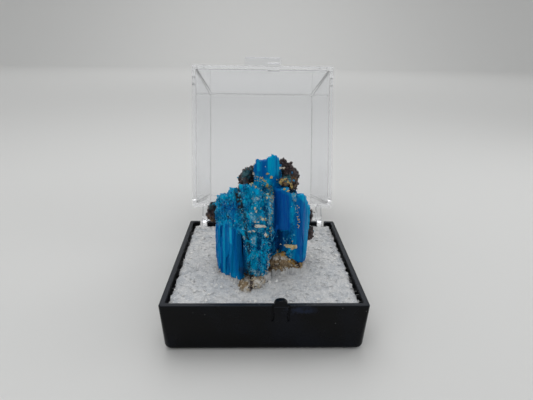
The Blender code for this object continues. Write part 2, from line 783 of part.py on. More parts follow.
def make_crust(collection, cutters, clearance):
    """Make the tan crust under the crystals, on its thin base."""
    material = new_material("foot_crust_tan", (0.42, 0.31, 0.17), 0.85)
    bm = bmesh.new()
    for seed, lump in enumerate(CRUST_LUMPS):
        add_lump(bm, lump, seed + len(ROCK_LUMPS))
    add_outline_prism(bm, BASE_OUTLINE, SEAT_FLOOR + GAP, SEAT_FLOOR + GAP + BASE_THICKNESS)
    crust = self_union("foot_crust", bm, collection, cutters, material)
    add_boolean(crust, "DIFFERENCE", clearance)
    bm = bmesh.new()
    wide = 3 * BOX_WIDTH
    add_block(bm, (-wide, -wide, -wide), (wide, wide, SEAT_FLOOR + GAP))
    behind = place(0, CRUST_BACK, 0).y
    add_block(bm, (-wide, behind, -wide), (wide, wide, wide))
    add_boolean(crust, "DIFFERENCE", new_cutter("around_crust", bm, cutters), self_union=True)
    drop_crumbs(crust)
    return crust


def main():
    """Build the box and the specimen."""
    clear_scene()
    collection = new_collection("chalcanthite_in_display_box")
    cutters = new_collection("cutters", hidden=True)
    make_tray(collection, cutters)
    make_lid(collection, cutters)
    make_foam_pad(collection, cutters)
    make_chalcanthite(collection, cutters)
    clearance = make_clearance(cutters)
    make_rock(collection, cutters, clearance)
    make_crust(collection, cutters, clearance)


main()
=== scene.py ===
"""Looks of a chalcanthite specimen in a small hinged display box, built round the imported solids.

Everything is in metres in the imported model's frame: the origin is the centre of the tray's underside,
+X is to the right, +Y to the back and +Z up. Sizes in the classes below are in millimetres, and MM
turns them into metres. Places on the specimen are given as x and the height above the tray's rim.
"""

import json
import logging
import math
import random
from collections.abc import Callable, Iterable, Sequence
from dataclasses import dataclass, field
from enum import Enum
from functools import cache

import bmesh
import bpy
import numpy as np
from mathutils import Matrix, Vector, noise
from mathutils.bvhtree import BVHTree

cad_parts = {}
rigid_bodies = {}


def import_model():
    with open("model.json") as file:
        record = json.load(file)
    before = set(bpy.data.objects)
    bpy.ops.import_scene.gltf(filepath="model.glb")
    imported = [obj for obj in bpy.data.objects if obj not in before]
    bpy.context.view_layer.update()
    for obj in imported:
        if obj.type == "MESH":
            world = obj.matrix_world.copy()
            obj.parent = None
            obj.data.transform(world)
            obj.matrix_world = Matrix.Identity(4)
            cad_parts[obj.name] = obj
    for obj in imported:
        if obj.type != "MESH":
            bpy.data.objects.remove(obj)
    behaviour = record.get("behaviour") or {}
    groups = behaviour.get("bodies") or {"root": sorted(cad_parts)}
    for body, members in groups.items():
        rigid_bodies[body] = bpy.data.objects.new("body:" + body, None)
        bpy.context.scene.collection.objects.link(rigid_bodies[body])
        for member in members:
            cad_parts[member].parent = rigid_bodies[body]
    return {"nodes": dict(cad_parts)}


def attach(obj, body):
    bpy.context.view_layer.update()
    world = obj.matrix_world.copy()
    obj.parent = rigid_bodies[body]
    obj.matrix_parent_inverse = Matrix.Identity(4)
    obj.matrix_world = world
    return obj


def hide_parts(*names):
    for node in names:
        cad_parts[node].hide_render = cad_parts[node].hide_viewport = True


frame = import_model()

LOG = logging.getLogger("display_box")
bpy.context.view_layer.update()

MM = 0.001
PHOTO_WIDTH = 533
SENSOR_WIDTH = 36.0
ROUND_SIDES = 40

Colour = tuple[float, float, float]
Line = tuple[tuple[float, float], ...]
Socket = bpy.types.NodeSocket


class Body(Enum):
    """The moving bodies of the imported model."""

    BASE = "base"
    LID = "lid"


class Slot(Enum):
    """The material slots of the record."""

    TRAY = "tray_black_plastic"
    LID = "lid_clear_plastic"
    FOAM = "foam_pale_grey"
    CRYSTAL = "chalcanthite_blue"
    ROCK = "host_rock_brown"
    CRUST = "foot_crust_tan"


class GrainShape(Enum):
    """The small solids that are scattered over a surface."""

    BLOCK = "block"
    NEEDLE = "needle"
    FLAKE = "flake"
    CRUMB = "crumb"


class Lie(Enum):
    """How the long side of a scattered solid points, as the least and the greatest turn about X, Y and Z."""

    UPRIGHT = ((-0.06, -0.06, -math.pi), (0.06, 0.06, math.pi))
    FLAT = ((math.pi / 2 - 0.3, 0.0, -math.pi), (math.pi / 2 + 0.3, 0.0, math.pi))
    ANYHOW = ((-math.pi, -math.pi, -math.pi), (math.pi, math.pi, math.pi))
    ON_FACE = ((-0.5, -0.5, -math.pi), (0.5, 0.5, math.pi))


class Draw(Enum):
    """The kinds of random value, each with the number of its sockets on the Random Value node."""

    FLOAT_VECTOR = 0
    FLOAT = 1
    INT = 2


class Join(Enum):
    """What a Boolean does with the other shape."""

    UNION = "UNION"
    CUT = "DIFFERENCE"


@dataclass(frozen=True)
class BoxSizes:
    """Sizes of the box in millimetres, as the solids have them.

    Attributes:
        width: Outside width and depth at the rims.
        tray_height: Height of the tray's rim.
        lid_height: Height of the lid alone.
        gap: Clearance between the closed rims.
        pivot_behind: Distance of the hinge axis behind the tray's rear wall.
        open_angle: How far the lid stands open, in degrees.
    """

    width: float = 31.75
    tray_height: float = 8.4
    lid_height: float = 27.0
    gap: float = 0.3
    pivot_behind: float = 2.17
    open_angle: float = 107.0

    @property
    def half(self) -> float:
        """Half the width."""
        return self.width / 2

    @property
    def pivot(self) -> Vector:
        """The hinge axis's middle, in metres."""
        return Vector((0, self.half + self.pivot_behind, self.tray_height)) * MM


BOX = BoxSizes()


def place(x: float, behind: float, height: float) -> Vector:
    """Turn x, the distance behind the front rim and the height above it, in millimetres, into a point."""
    return Vector((x, behind - BOX.half, height + BOX.tray_height)) * MM


class Tree:
    """Adds and links the nodes of one shader or geometry tree."""

    def __init__(self, tree: bpy.types.NodeTree) -> None:
        """Take the open node tree to fill."""
        self.tree = tree

    def feed(self, socket: Socket, value: object) -> None:
        """Link or set one input.

        Args:
            socket: The input.
            value: An output to link, or a plain value.
        """
        if isinstance(value, Socket):
            self.tree.links.new(value, socket)
        else:
            socket.default_value = value

    def add(self, kind: str, inputs: dict | None = None, **settings: object) -> bpy.types.Node:
        """Add a node.

        Args:
            kind: The node's type name.
            inputs: Values or outputs by input name or index.
            **settings: The node's own properties.

        Returns:
            The new node.
        """
        node = self.tree.nodes.new(kind)
        for name, value in settings.items():
            setattr(node, name, value)
        for key, value in (inputs or {}).items():
            self.feed(node.inputs[key], value)
        return node

    def math(self, operation: str, *values: object, clamp: bool = False) -> Socket:
        """Add a Math node with its inputs in order, its result kept between 0 and 1 if clamp is set."""
        inputs = dict(enumerate(values))
        return self.add("ShaderNodeMath", inputs, operation=operation, use_clamp=clamp).outputs[0]

    def times(self, first: object, second: object) -> Socket:
        """Multiply two values."""
        return self.math("MULTIPLY", first, second)

    def ramp(self, value: object, gain: object, base: object) -> Socket:
        """Multiply a value by a gain and add a base."""
        return self.math("MULTIPLY_ADD", value, gain, base)

    def vector(self, operation: str, *values: object) -> bpy.types.Node:
        """Add a Vector Math node with its inputs in order."""
        return self.add("ShaderNodeVectorMath", dict(enumerate(values)), operation=operation)

    def scaled(self, vector: object, factor: object) -> Socket:
        """Stretch a vector by a factor."""
        return self.add("ShaderNodeVectorMath", {0: vector, "Scale": factor}, operation="SCALE").outputs[0]

    def spread(self, value: object, low: float, high: float) -> Socket:
        """Stretch a value softly, so that the low level becomes 0 and the high one 1."""
        inputs = {"Value": value, "From Min": low, "From Max": high}
        return self.add("ShaderNodeMapRange", inputs, interpolation_type="SMOOTHSTEP").outputs["Result"]

    def over(self, under: object, tone: object, mask: object, amount: float = 1.0) -> Socket:
        """Lay one colour over another.

        Args:
            under: The colour below.
            tone: The colour on top.
            mask: Where the top one shows, from 0 to 1.
            amount: How much of it shows where the mask is full.

        Returns:
            The mixed colour.
        """
        below, above = ((*c, 1.0) if isinstance(c, tuple) else c for c in (under, tone))
        share = mask if amount == 1.0 else self.times(mask, amount)
        return self.add("ShaderNodeMix", {0: share, 6: below, 7: above}, data_type="RGBA").outputs[2]

    def point(self) -> Socket:
        """Read where the shaded point is on the object."""
        return self.add("ShaderNodeTexCoord").outputs["Object"]

    def noise(self, where: object, scale: object, detail: float, roughness: float = 0.5) -> Socket:
        """Add a Noise texture at a place, with its scale, its finer layers and how strong they are."""
        inputs = {"Vector": where, "Scale": scale, "Detail": detail, "Roughness": roughness}
        return self.add("ShaderNodeTexNoise", inputs).outputs[0]

    def speckle(self, size: float, detail: float = 3.0) -> Socket:
        """Add a Noise texture whose blots have a size in millimetres."""
        return self.noise(self.point(), 1 / (size * MM), detail, 0.6)

    def cells(self, scale: object) -> tuple[Socket, Socket]:
        """Add a Voronoi texture.

        Args:
            scale: How many cells there are in a metre.

        Returns:
            The distance from the middle of the nearest cell, and a number that each cell draws.
        """
        outputs = self.add("ShaderNodeTexVoronoi", {"Vector": self.point(), "Scale": scale}).outputs
        number = self.add("ShaderNodeSeparateColor", {0: outputs["Color"]}).outputs[0]
        return outputs["Distance"], number

    def mask(self, name: str) -> Socket:
        """Read one of the mesh's named masks."""
        return self.add("ShaderNodeAttribute", attribute_name=name).outputs["Fac"]

    def pattern(self, group: bpy.types.NodeTree, inputs: dict[str, float]) -> bpy.types.NodeOutputs:
        """Place a shader group with its own values, and pass on its outputs."""
        return self.add("ShaderNodeGroup", inputs, node_tree=group).outputs


def new_group(name: str, inputs: dict[str, float], outputs: Sequence[str]) -> Tree:
    """Start a shader group with number sockets.

    Args:
        name: The group's name.
        inputs: Names of its inputs with their usual values.
        outputs: Names of its outputs.

    Returns:
        The group's tree.
    """
    group = bpy.data.node_groups.new(name, "ShaderNodeTree")
    for key, value in inputs.items():
        socket = group.interface.new_socket(name=key, in_out="INPUT", socket_type="NodeSocketFloat")
        socket.default_value = value
    for key in outputs:
        group.interface.new_socket(name=key, in_out="OUTPUT", socket_type="NodeSocketFloat")
    return Tree(group)


@cache
def grit_group() -> bpy.types.NodeTree:
    """Make the group for a gritty, mottled surface.

    Returns:
        A group that puts out a mottle mask, a fleck mask, a tone for each grain and a height.
    """
    grains_in_blot, flecks_in_blot = 2.0, 4.0
    tree = new_group("Grit", {"Size": 0.5, "Flecks": 0.5}, ("Mottle", "Fleck", "Grain", "Height"))
    given = tree.add("NodeGroupInput").outputs
    scale = tree.math("DIVIDE", 1 / MM, given["Size"])
    mottle = tree.noise(tree.point(), scale, 5.0, 0.65)
    distance, grain = tree.cells(tree.times(scale, grains_in_blot))
    fine = tree.noise(tree.point(), tree.times(scale, flecks_in_blot), 2.0)
    threshold = tree.math("SUBTRACT", 0.8, tree.times(given["Flecks"], 0.3))
    outputs = {
        "Mottle": tree.spread(mottle, 0.3, 0.7),
        "Fleck": tree.math("MULTIPLY", tree.math("SUBTRACT", fine, threshold), 12.0, clamp=True),
        "Grain": grain,
        "Height": tree.math("ADD", tree.times(distance, 0.4), mottle),
    }
    tree.add("NodeGroupOutput", outputs)
    return tree.tree


@cache
def fibre_group() -> bpy.types.NodeTree:
    """Make the group for a silky surface of upright fibres.

    Returns:
        A group that puts out a broad streak mask, a fine streak mask and a height.
    """
    broad_scale = 0.28
    tree = new_group("Fibres", {"Width": 0.2, "Length": 3.0}, ("Broad", "Fine", "Height"))
    given = tree.add("NodeGroupInput").outputs
    across = tree.math("DIVIDE", 1 / MM, given["Width"])
    along = tree.math("DIVIDE", 1 / MM, given["Length"])
    stretch = tree.add("ShaderNodeCombineXYZ", {0: across, 1: across, 2: along}).outputs[0]
    where = tree.vector("MULTIPLY", tree.point(), stretch).outputs[0]
    fine = tree.noise(where, 1.0, 3.0)
    broad = tree.noise(where, broad_scale, 2.0)
    outputs = {"Broad": tree.spread(broad, 0.36, 0.64), "Fine": tree.spread(fine, 0.32, 0.68), "Height": fine}
    tree.add("NodeGroupOutput", outputs)
    return tree.tree


@cache
def scuff_group() -> bpy.types.NodeTree:
    """Make the group for moulded plastic that has been handled.

    Returns:
        A group that puts out a haze mask, a dust mask and a height.
    """
    speck_spacing, speck_radius, ripple_size = 0.9, 0.07, 2.5
    tree = new_group("Scuffs", {"Haze size": 6.0, "Dust": 0.4}, ("Haze", "Dust", "Height"))
    given = tree.add("NodeGroupInput").outputs
    haze = tree.noise(tree.point(), tree.math("DIVIDE", 1 / MM, given["Haze size"]), 4.0)
    distance, chance = tree.cells(1 / (speck_spacing * MM))
    rare = tree.math("GREATER_THAN", given["Dust"], tree.times(chance, 2.5))
    outputs = {
        "Haze": tree.spread(haze, 0.4, 0.75),
        "Dust": tree.times(rare, tree.math("LESS_THAN", distance, speck_radius)),
        "Height": tree.speckle(ripple_size, 1.0),
    }
    tree.add("NodeGroupOutput", outputs)
    return tree.tree


class Coat(Tree):
    """The tree of one material, round its Principled shader."""

    def __init__(self, material: bpy.types.Material) -> None:
        """Open the tree of a material that uses nodes."""
        super().__init__(material.node_tree)
        self.shader = material.node_tree.nodes["Principled BSDF"]

    def give(self, name: str, value: object) -> None:
        """Feed one of the shader's inputs."""
        self.feed(self.shader.inputs[name], value)

    def emboss(self, height: object, depth: float, strength: float) -> None:
        """Put a fine relief on the shader's normal.

        Args:
            height: The relief's height output.
            depth: The relief's full depth, in millimetres.
            strength: How much of it shows.
        """
        inputs = {"Height": height, "Distance": depth * MM, "Strength": strength}
        self.give("Normal", self.add("ShaderNodeBump", inputs).outputs["Normal"])


@dataclass(frozen=True)
class Finish:
    """What every finish shares: a name, and the way from it to a material."""

    name: str

    def make(self) -> bpy.types.Material:
        """Build the material.

        Returns:
            The material.
        """
        material = bpy.data.materials.new(self.name)
        material.use_nodes = True
        self.paint(Coat(material))
        return material

    def paint(self, coat: Coat) -> None:
        """Feed the shader. Each finish has its own way."""
        raise NotImplementedError


@dataclass(frozen=True)
class BlackPlastic(Finish):
    """Glossy black moulded plastic, with a painted highlight along its rim and a faint smudge beside the
    catch whose bluish tone is a painted reflection.

    Attributes:
        rim_highlight_band: Heights from the rim at which the painted rim highlight starts, is full, is full
            and has ended.
        smudge_and_reflection_place: The middle of the smudge and its painted reflection, as x, the distance
            behind the rim and the height above it.
        smudge_and_reflection_size: How far the smudge and its painted reflection reach along X, Y and Z.
    """

    colour: Colour = (0.0028, 0.003, 0.0035)
    # The rim colour is the painted highlight along the rim.
    rim: Colour = (0.015, 0.018, 0.024)
    dust: Colour = (0.12, 0.12, 0.12)
    # The smudge's lighter, bluish colour is a painted reflection; the smudge is also a little rougher.
    smudge_and_reflection: Colour = (0.012, 0.018, 0.036)
    rim_highlight_band: tuple[float, float, float, float] = (-0.1, -0.02, 0.02, 0.06)
    smudge_and_reflection_place: tuple[float, float, float] = (5.2, -0.2, -0.8)
    smudge_and_reflection_size: tuple[float, float, float] = (3.4, 3.0, 1.2)
    specular: float = 0.11

    def paint(self, coat: Coat) -> None:
        """Lay the smudge with its painted reflection, the painted rim highlight and the dust over the black.

        Args:
            coat: The material's tree.
        """
        scuffs = coat.pattern(scuff_group(), {"Dust": 0.2})
        moved = coat.vector("SUBTRACT", coat.point(), tuple(place(*self.smudge_and_reflection_place)))
        sized = coat.vector("DIVIDE", moved.outputs[0], tuple(size * MM for size in self.smudge_and_reflection_size))
        near = coat.spread(coat.vector("LENGTH", sized.outputs[0]).outputs[1], 1.0, 0.3)
        # The smudge patch: its colour a painted reflection, its roughness real; worn adds the real haze of
        # handling.
        smudge_and_reflection_patch = coat.times(near, coat.spread(coat.speckle(0.9, 5.0), 0.35, 0.6))
        worn = coat.math("MAXIMUM", smudge_and_reflection_patch, coat.times(scuffs["Haze"], 0.16))
        height = coat.add("ShaderNodeSeparateXYZ", {0: coat.point()}).outputs[2]
        # Painted highlight in a thin band round the rim's height.
        start, full, still_full, end = ((BOX.tray_height + level) * MM for level in self.rim_highlight_band)
        lit = coat.times(coat.spread(height, start, full), coat.spread(height, end, still_full))
        plain = coat.over(coat.over(self.colour, self.smudge_and_reflection, worn), self.rim, lit)
        coat.give("Base Color", coat.over(plain, self.dust, scuffs["Dust"]))
        coat.give("Roughness", coat.ramp(worn, 0.25, 0.24))
        coat.give("Specular IOR Level", self.specular)
        coat.emboss(scuffs["Height"], 0.02, 0.5)


@dataclass(frozen=True)
class ClearPlastic(Finish):
    """Clear moulded plastic with a faint haze from handling."""

    colour: Colour = (0.94, 0.948, 0.966)
    ior: float = 1.49

    def paint(self, coat: Coat) -> None:
        """Make it clear, with a little haze and dust in its gloss.

        Args:
            coat: The material's tree.
        """
        scuffs = coat.pattern(scuff_group(), {"Dust": 0.15})
        coat.give("Base Color", (*self.colour, 1.0))
        coat.give("Transmission Weight", 1.0)
        coat.give("IOR", self.ior)
        coat.give("Roughness", coat.ramp(scuffs["Dust"], 0.4, coat.ramp(scuffs["Haze"], 0.03, 0.012)))
        coat.emboss(scuffs["Height"], 0.01, 0.3)


@dataclass(frozen=True)
class OpenFoam(Finish):
    """Pale open-cell foam, with painted shade down in its cells and at its worn edge, and cool grey clouds
    that thicken into painted shade near its edges and towards the back.
    """

    wall: Colour = (0.6, 0.603, 0.605)
    # The pit colour is painted shade down in the cells; the cool grey also paints shade near the walls.
    pit: Colour = (0.43, 0.437, 0.448)
    cool_shade: Colour = (0.4, 0.425, 0.455)
    fleck: Colour = (0.84, 0.83, 0.81)

    def paint(self, coat: Coat) -> None:
        """Lay the painted shade of the pits, the cool clouds with their painted shade and the flecks over the
        cell walls.

        Args:
            coat: The material's tree.
        """
        grit = coat.pattern(grit_group(), {"Size": 1.1, "Flecks": 0.8})
        # Painted shade, darker down in the pits and at the worn edge.
        depth = coat.ramp(grit["Mottle"], 0.45, coat.mask("pit"))
        shaded = coat.over(self.wall, self.pit, coat.spread(depth, 0.0, 1.5))
        # Cool grey clouds, thickened near the edges and towards the back as painted shade.
        clouds = coat.spread(coat.speckle(1.7, 4.0), 0.42, 0.62)
        shaded = coat.over(shaded, self.cool_shade, coat.times(clouds, coat.ramp(coat.mask("edge"), 0.7, 0.25)))
        coat.give("Base Color", coat.over(shaded, self.fleck, grit["Fleck"], 0.55))
        coat.give("Roughness", coat.ramp(grit["Fleck"], -0.35, 0.65))
        coat.emboss(grit["Height"], 0.06, 0.5)


@dataclass(frozen=True)
class BlueCrystal(Finish):
    """Chalcanthite: blue glassy fibres and grains, coloured by the masks of its places, some of which paint
    shade, sheen and highlights.
    """

    body: Colour = (0.0, 0.15, 0.42)
    light: Colour = (0.0, 0.3, 0.6)
    teal: Colour = (0.0, 0.28, 0.58)
    # This cyan tints bright grains and also paints the sheen and glow of lit edges.
    cyan: Colour = (0.0, 0.5, 0.76)
    cobalt: Colour = (0.0, 0.075, 0.36)
    navy: Colour = (0.0, 0.028, 0.13)
    grime: Colour = (0.03, 0.024, 0.022)
    pale: Colour = (0.42, 0.62, 0.7)
    glint: Colour = (0.15, 0.6, 1.0)
    specular: float = 0.16
    lacquer: float = 0.07
    lacquer_roughness: float = 0.12

    def mosaic(self, coat: Coat, chips: bpy.types.NodeOutputs, grit: bpy.types.NodeOutputs) -> Socket:
        """Mix the colours of the granular bundles.

        Args:
            coat: The material's tree.
            chips: Outputs of the fibre pattern of its short splinters.
            grit: Outputs of the pattern of its grains.

        Returns:
            The colour.
        """
        blades = coat.pattern(fibre_group(), {"Width": 0.26, "Length": 1.1})["Fine"]
        patches = coat.speckle(1.1)
        colour = coat.over(self.teal, self.light, coat.spread(grit["Grain"], 0.5, 0.85))
        layers = (
            (self.navy, coat.spread(grit["Grain"], 0.36, 0.08), 1.0),
            (self.body, chips["Fine"], 0.4),
            (self.navy, coat.spread(patches, 0.47, 0.37), 0.65),
            (self.cyan, coat.spread(patches, 0.52, 0.62), 0.75),
            (self.navy, coat.spread(blades, 0.35, 0.0), 0.6),
            (self.cyan, coat.spread(blades, 0.6, 1.0), 0.6),
            (self.cyan, coat.spread(chips["Height"], 0.58, 0.7), 0.7),
            # Pale flecks: painted highlights.
            (self.pale, grit["Fleck"], 0.75),
        )
        for tone, mask, amount in layers:
            colour = coat.over(colour, tone, mask, amount)
        return colour

    def paint(self, coat: Coat) -> None:
        """Mix silk and mosaic by the silky mask, and lay the other masks' colours over them, painted shade
        and sheen among them.

        Args:
            coat: The material's tree.
        """
        fibres = coat.pattern(fibre_group(), {"Width": 0.14, "Length": 4.5})
        chips = coat.pattern(fibre_group(), {"Width": 0.16, "Length": 0.5})
        grit = coat.pattern(grit_group(), {"Size": 0.42, "Flecks": 0.55})
        silky = coat.mask("silky")
        loose = coat.math("SUBTRACT", 1.0, silky)
        # Lighter streaks along the fibres, partly painted sheen.
        streaks = coat.times(fibres["Broad"], fibres["Fine"])
        silk = coat.over(self.body, self.light, streaks, 0.7)
        silk = coat.over(silk, self.cobalt, coat.math("SUBTRACT", 1.0, fibres["Broad"]), 0.3)
        colour = coat.over(self.mosaic(coat, chips, grit), silk, silky)
        lit = coat.math("MAXIMUM", streaks, coat.times(grit["Grain"], loose))
        layers = (
            (coat.over(self.cobalt, self.body, streaks, 0.5), coat.mask("deep")),
            # Painted shade.
            (self.navy, coat.mask("shade")),
            # Painted sheen and glow along lit edges, with some real cyan.
            (coat.over(self.light, self.cyan, lit), coat.mask("cyan")),
            (self.grime, coat.times(coat.mask("grime"), coat.spread(grit["Mottle"], 0.0, 0.6))),
            (self.pale, coat.times(coat.mask("pale"), coat.spread(grit["Grain"], 0.3, 0.6))),
        )
        for tone, mask in layers:
            colour = coat.over(colour, tone, mask)
        coat.give("Base Color", colour)
        dull = coat.math("MAXIMUM", coat.times(loose, 0.5), coat.mask("grime"))
        coat.give("Roughness", coat.ramp(dull, 0.3, 0.26))
        coat.give("Coat Weight", coat.times(coat.mask("deep"), self.lacquer))
        coat.give("Coat Roughness", self.lacquer_roughness)
        coat.give("Specular IOR Level", self.specular)
        coat.give("Specular Tint", (*self.glint, 1.0))
        grooves = coat.times(fibres["Height"], coat.ramp(silky, 0.8, 0.1))
        facets = coat.times(coat.math("ADD", grit["Height"], chips["Height"]), loose)
        coat.emboss(coat.math("ADD", grooves, facets), 0.07, 0.8)


@dataclass(frozen=True)
class BrokenRock(Finish):
    """Dark host rock with grey and rusty patches, stained where the crystals meet it, and flecked with
    painted highlights.
    """

    dark: Colour = (0.01, 0.007, 0.007)
    brown: Colour = (0.075, 0.044, 0.046)
    grey: Colour = (0.075, 0.1, 0.115)
    rust: Colour = (0.28, 0.15, 0.04)
    stain: Colour = (0.005, 0.13, 0.16)
    # The fleck colour paints highlights on the rock's knobs.
    fleck: Colour = (0.26, 0.22, 0.22)

    def paint(self, coat: Coat) -> None:
        """Lay the patches, the rust, the stain and the flecks of painted highlight over the brown.

        Args:
            coat: The material's tree.
        """
        grit = coat.pattern(grit_group(), {"Size": 0.5, "Flecks": 0.45})
        broad = coat.speckle(3.2, 4.0)
        colour = coat.over(self.dark, self.brown, grit["Mottle"])
        colour = coat.over(colour, self.grey, coat.spread(broad, 0.54, 0.68), 0.6)
        colour = coat.over(colour, self.rust, coat.times(coat.mask("rust"), grit["Mottle"]))
        colour = coat.over(colour, self.stain, coat.times(coat.mask("stain"), coat.spread(broad, 0.35, 0.6)))
        # Painted highlights: pale flecks.
        coat.give("Base Color", coat.over(colour, self.fleck, grit["Fleck"], 0.6))
        coat.give("Roughness", coat.ramp(grit["Mottle"], 0.3, 0.4))
        coat.emboss(grit["Height"], 0.14, 1.0)


@dataclass(frozen=True)
class TanCrust(Finish):
    """Tan and whitish crust, rusty on its upper edge and dark in its hollows, with painted shade where it has
    holes.
    """

    tan: Colour = (0.25, 0.175, 0.095)
    rust: Colour = (0.5, 0.29, 0.06)
    white: Colour = (0.6, 0.58, 0.54)
    dark: Colour = (0.035, 0.016, 0.014)
    fleck: Colour = (0.75, 0.72, 0.66)

    def paint(self, coat: Coat) -> None:
        """Lay the rust, the white, the hollows, the painted shade of holes and the flecks over the tan.

        Args:
            coat: The material's tree.
        """
        grit = coat.pattern(grit_group(), {"Size": 0.6, "Flecks": 0.5})
        patches = coat.speckle(1.1, 5.0)
        colour = coat.over(self.tan, self.rust, coat.mask("rust"))
        colour = coat.over(colour, self.white, coat.times(coat.mask("white"), coat.spread(patches, 0.3, 0.5)))
        hollows = coat.spread(coat.math("ADD", grit["Mottle"], patches), 0.75, 0.45)
        # The hole mask paints the shade of holes that the mesh doesn't cut.
        pitted = coat.math("MAXIMUM", coat.times(hollows, 0.8), coat.mask("hole"))
        colour = coat.over(colour, self.dark, pitted)
        coat.give("Base Color", coat.over(colour, self.fleck, grit["Fleck"], 0.7))
        coat.give("Roughness", coat.ramp(grit["Mottle"], 0.3, 0.45))
        coat.emboss(grit["Height"], 0.14, 0.9)


@dataclass(frozen=True)
class GrainFinish(Finish):
    """Small loose-looking grains whose colour runs between two, one tint to each grain."""

    first: Colour = (0.6, 0.58, 0.52)
    second: Colour = (0.55, 0.36, 0.12)
    roughness: float = 0.35
    shadow: float = 0.35

    def paint(self, coat: Coat) -> None:
        """Give each grain its tint, spotted with the shadow of the second colour.

        Args:
            coat: The material's tree.
        """
        grit = coat.pattern(grit_group(), {"Size": 0.25, "Flecks": 0.2})
        colour = coat.over(self.first, self.second, coat.mask("tint"))
        spot = tuple(channel * self.shadow for channel in self.second)
        coat.give("Base Color", coat.over(colour, spot, grit["Mottle"], 0.45))
        coat.give("Roughness", coat.ramp(grit["Mottle"], 0.2, self.roughness))
        coat.emboss(grit["Height"], 0.03, 0.6)


def new_object(name: str, bm: bmesh.types.BMesh) -> bpy.types.Object:
    """Make an object from a bmesh, with its faces outwards, and free the bmesh.

    Args:
        name: The object's name.
        bm: The shape.

    Returns:
        The object, linked to the scene.
    """
    bmesh.ops.recalc_face_normals(bm, faces=bm.faces)
    mesh = bpy.data.meshes.new(name)
    bm.to_mesh(mesh)
    bm.free()
    obj = bpy.data.objects.new(name, mesh)
    bpy.context.scene.collection.objects.link(obj)
    return obj


def bake(obj: bpy.types.Object) -> None:
    """Give an object the plain mesh that its modifiers make.

    Args:
        obj: The object.
    """
    bpy.context.view_layer.update()
    evaluated = obj.evaluated_get(bpy.context.evaluated_depsgraph_get())
    mesh = bpy.data.meshes.new_from_object(evaluated)
    obj.modifiers.clear()
    obj.data = mesh


def combine(obj: bpy.types.Object, other: bpy.types.Object, join: Join) -> None:
    """Join another shape to an object, or cut it away, and remove the other.

    Args:
        obj: The object to change.
        other: The other shape.
        join: What to do with it.
    """
    modifier = obj.modifiers.new("Join", "BOOLEAN")
    modifier.operation = join.value
    modifier.solver = "EXACT"
    modifier.object = other
    bake(obj)
    bpy.data.objects.remove(other, do_unlink=True)


def hand_over(
    piece: bpy.types.Object,
    material: bpy.types.Material,
    body: Body,
    node: str | None = None,
    sharp_angle: float | None = None,
    flat_faces: bool = False,
) -> None:
    """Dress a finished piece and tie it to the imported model.

    Args:
        piece: The finished piece.
        material: Its material.
        body: The body that it moves with.
        node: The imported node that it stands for, if any.
        sharp_angle: Shade smooth but for edges above this angle, in degrees; None leaves it as it is.
        flat_faces: Whether its large faces shade quite flat beside their rounded edges.
    """
    piece.data.materials.clear()
    piece.data.materials.append(material)
    if sharp_angle is not None:
        piece.data.shade_smooth()
        piece.data.set_sharp_from_angle(angle=math.radians(sharp_angle))
    if flat_faces:
        level = piece.modifiers.new("Flat faces stay flat", "WEIGHTED_NORMAL")
        level.weight = 100
        level.keep_sharp = True
        bake(piece)
    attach(piece, body.value)
    if node:
        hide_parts(node)
    LOG.info("%s: %d faces on %s", piece.name, len(piece.data.polygons), body.value)


def smoothstep(values: np.ndarray) -> np.ndarray:
    """Ease values from 0 to 1."""
    held = np.clip(values, 0.0, 1.0)
    return held * held * (3.0 - 2.0 * held)


@dataclass(frozen=True)
class Streak:
    """A soft-edged band of one look on the specimen.

    Attributes:
        line: Places along its middle, as x and the height above the rim, in millimetres.
        reach: Distance from the line at which it has faded out, in millimetres.
        strength: How strong it is on the line.
    """

    line: Line
    reach: float
    strength: float = 1.0

    def at(self, places: np.ndarray) -> np.ndarray:
        """Measure the band's strength.

        Args:
            places: Rows of x and height, in millimetres.

        Returns:
            One strength a row.
        """
        nearest = np.full(len(places), np.inf)
        for start, end in zip(self.line, self.line[1:] or self.line):
            a = np.array(start)
            run = np.array(end) - a
            length = max(float(run @ run), 1e-9)
            share = np.clip((places - a) @ run / length, 0.0, 1.0)
            distance = np.linalg.norm(places - a - share[:, None] * run, axis=1)
            nearest = np.minimum(nearest, distance)
        return self.strength * smoothstep(2.2 * (1.0 - nearest / self.reach))


def strongest(streaks: Iterable[Streak], places: np.ndarray) -> np.ndarray:
    """Measure the strongest of several bands at rows of x and height."""
    return np.max([streak.at(places) for streak in streaks], axis=0)


def points_of(mesh: bpy.types.Mesh) -> np.ndarray:
    """Read a mesh's points.

    Args:
        mesh: The mesh.

    Returns:
        Rows of x, y and z, in metres.
    """
    flat = np.empty(len(mesh.vertices) * 3)
    mesh.vertices.foreach_get("co", flat)
    return flat.reshape(-1, 3)


def move_points(mesh: bpy.types.Mesh, points: np.ndarray) -> None:
    """Write a mesh's points."""
    mesh.vertices.foreach_set("co", points.ravel())
    mesh.update()


def normals_of(mesh: bpy.types.Mesh) -> np.ndarray:
    """Read the normals at a mesh's points.

    Args:
        mesh: The mesh.

    Returns:
        One unit vector a point.
    """
    flat = np.empty(len(mesh.vertices) * 3, np.float32)
    mesh.vertex_normals.foreach_get("vector", flat)
    return flat.reshape(-1, 3)


def set_mask(mesh: bpy.types.Mesh, name: str, values: np.ndarray) -> None:
    """Keep a mask on a mesh's points."""
    layer = mesh.attributes.new(name, "FLOAT", "POINT")
    layer.data.foreach_set("value", np.clip(values, 0.0, 1.0).astype(np.float32))


def front_places(points: np.ndarray) -> np.ndarray:
    """Turn points into places as the masks give them."""
    return np.column_stack((points[:, 0] / MM, points[:, 2] / MM - BOX.tray_height))


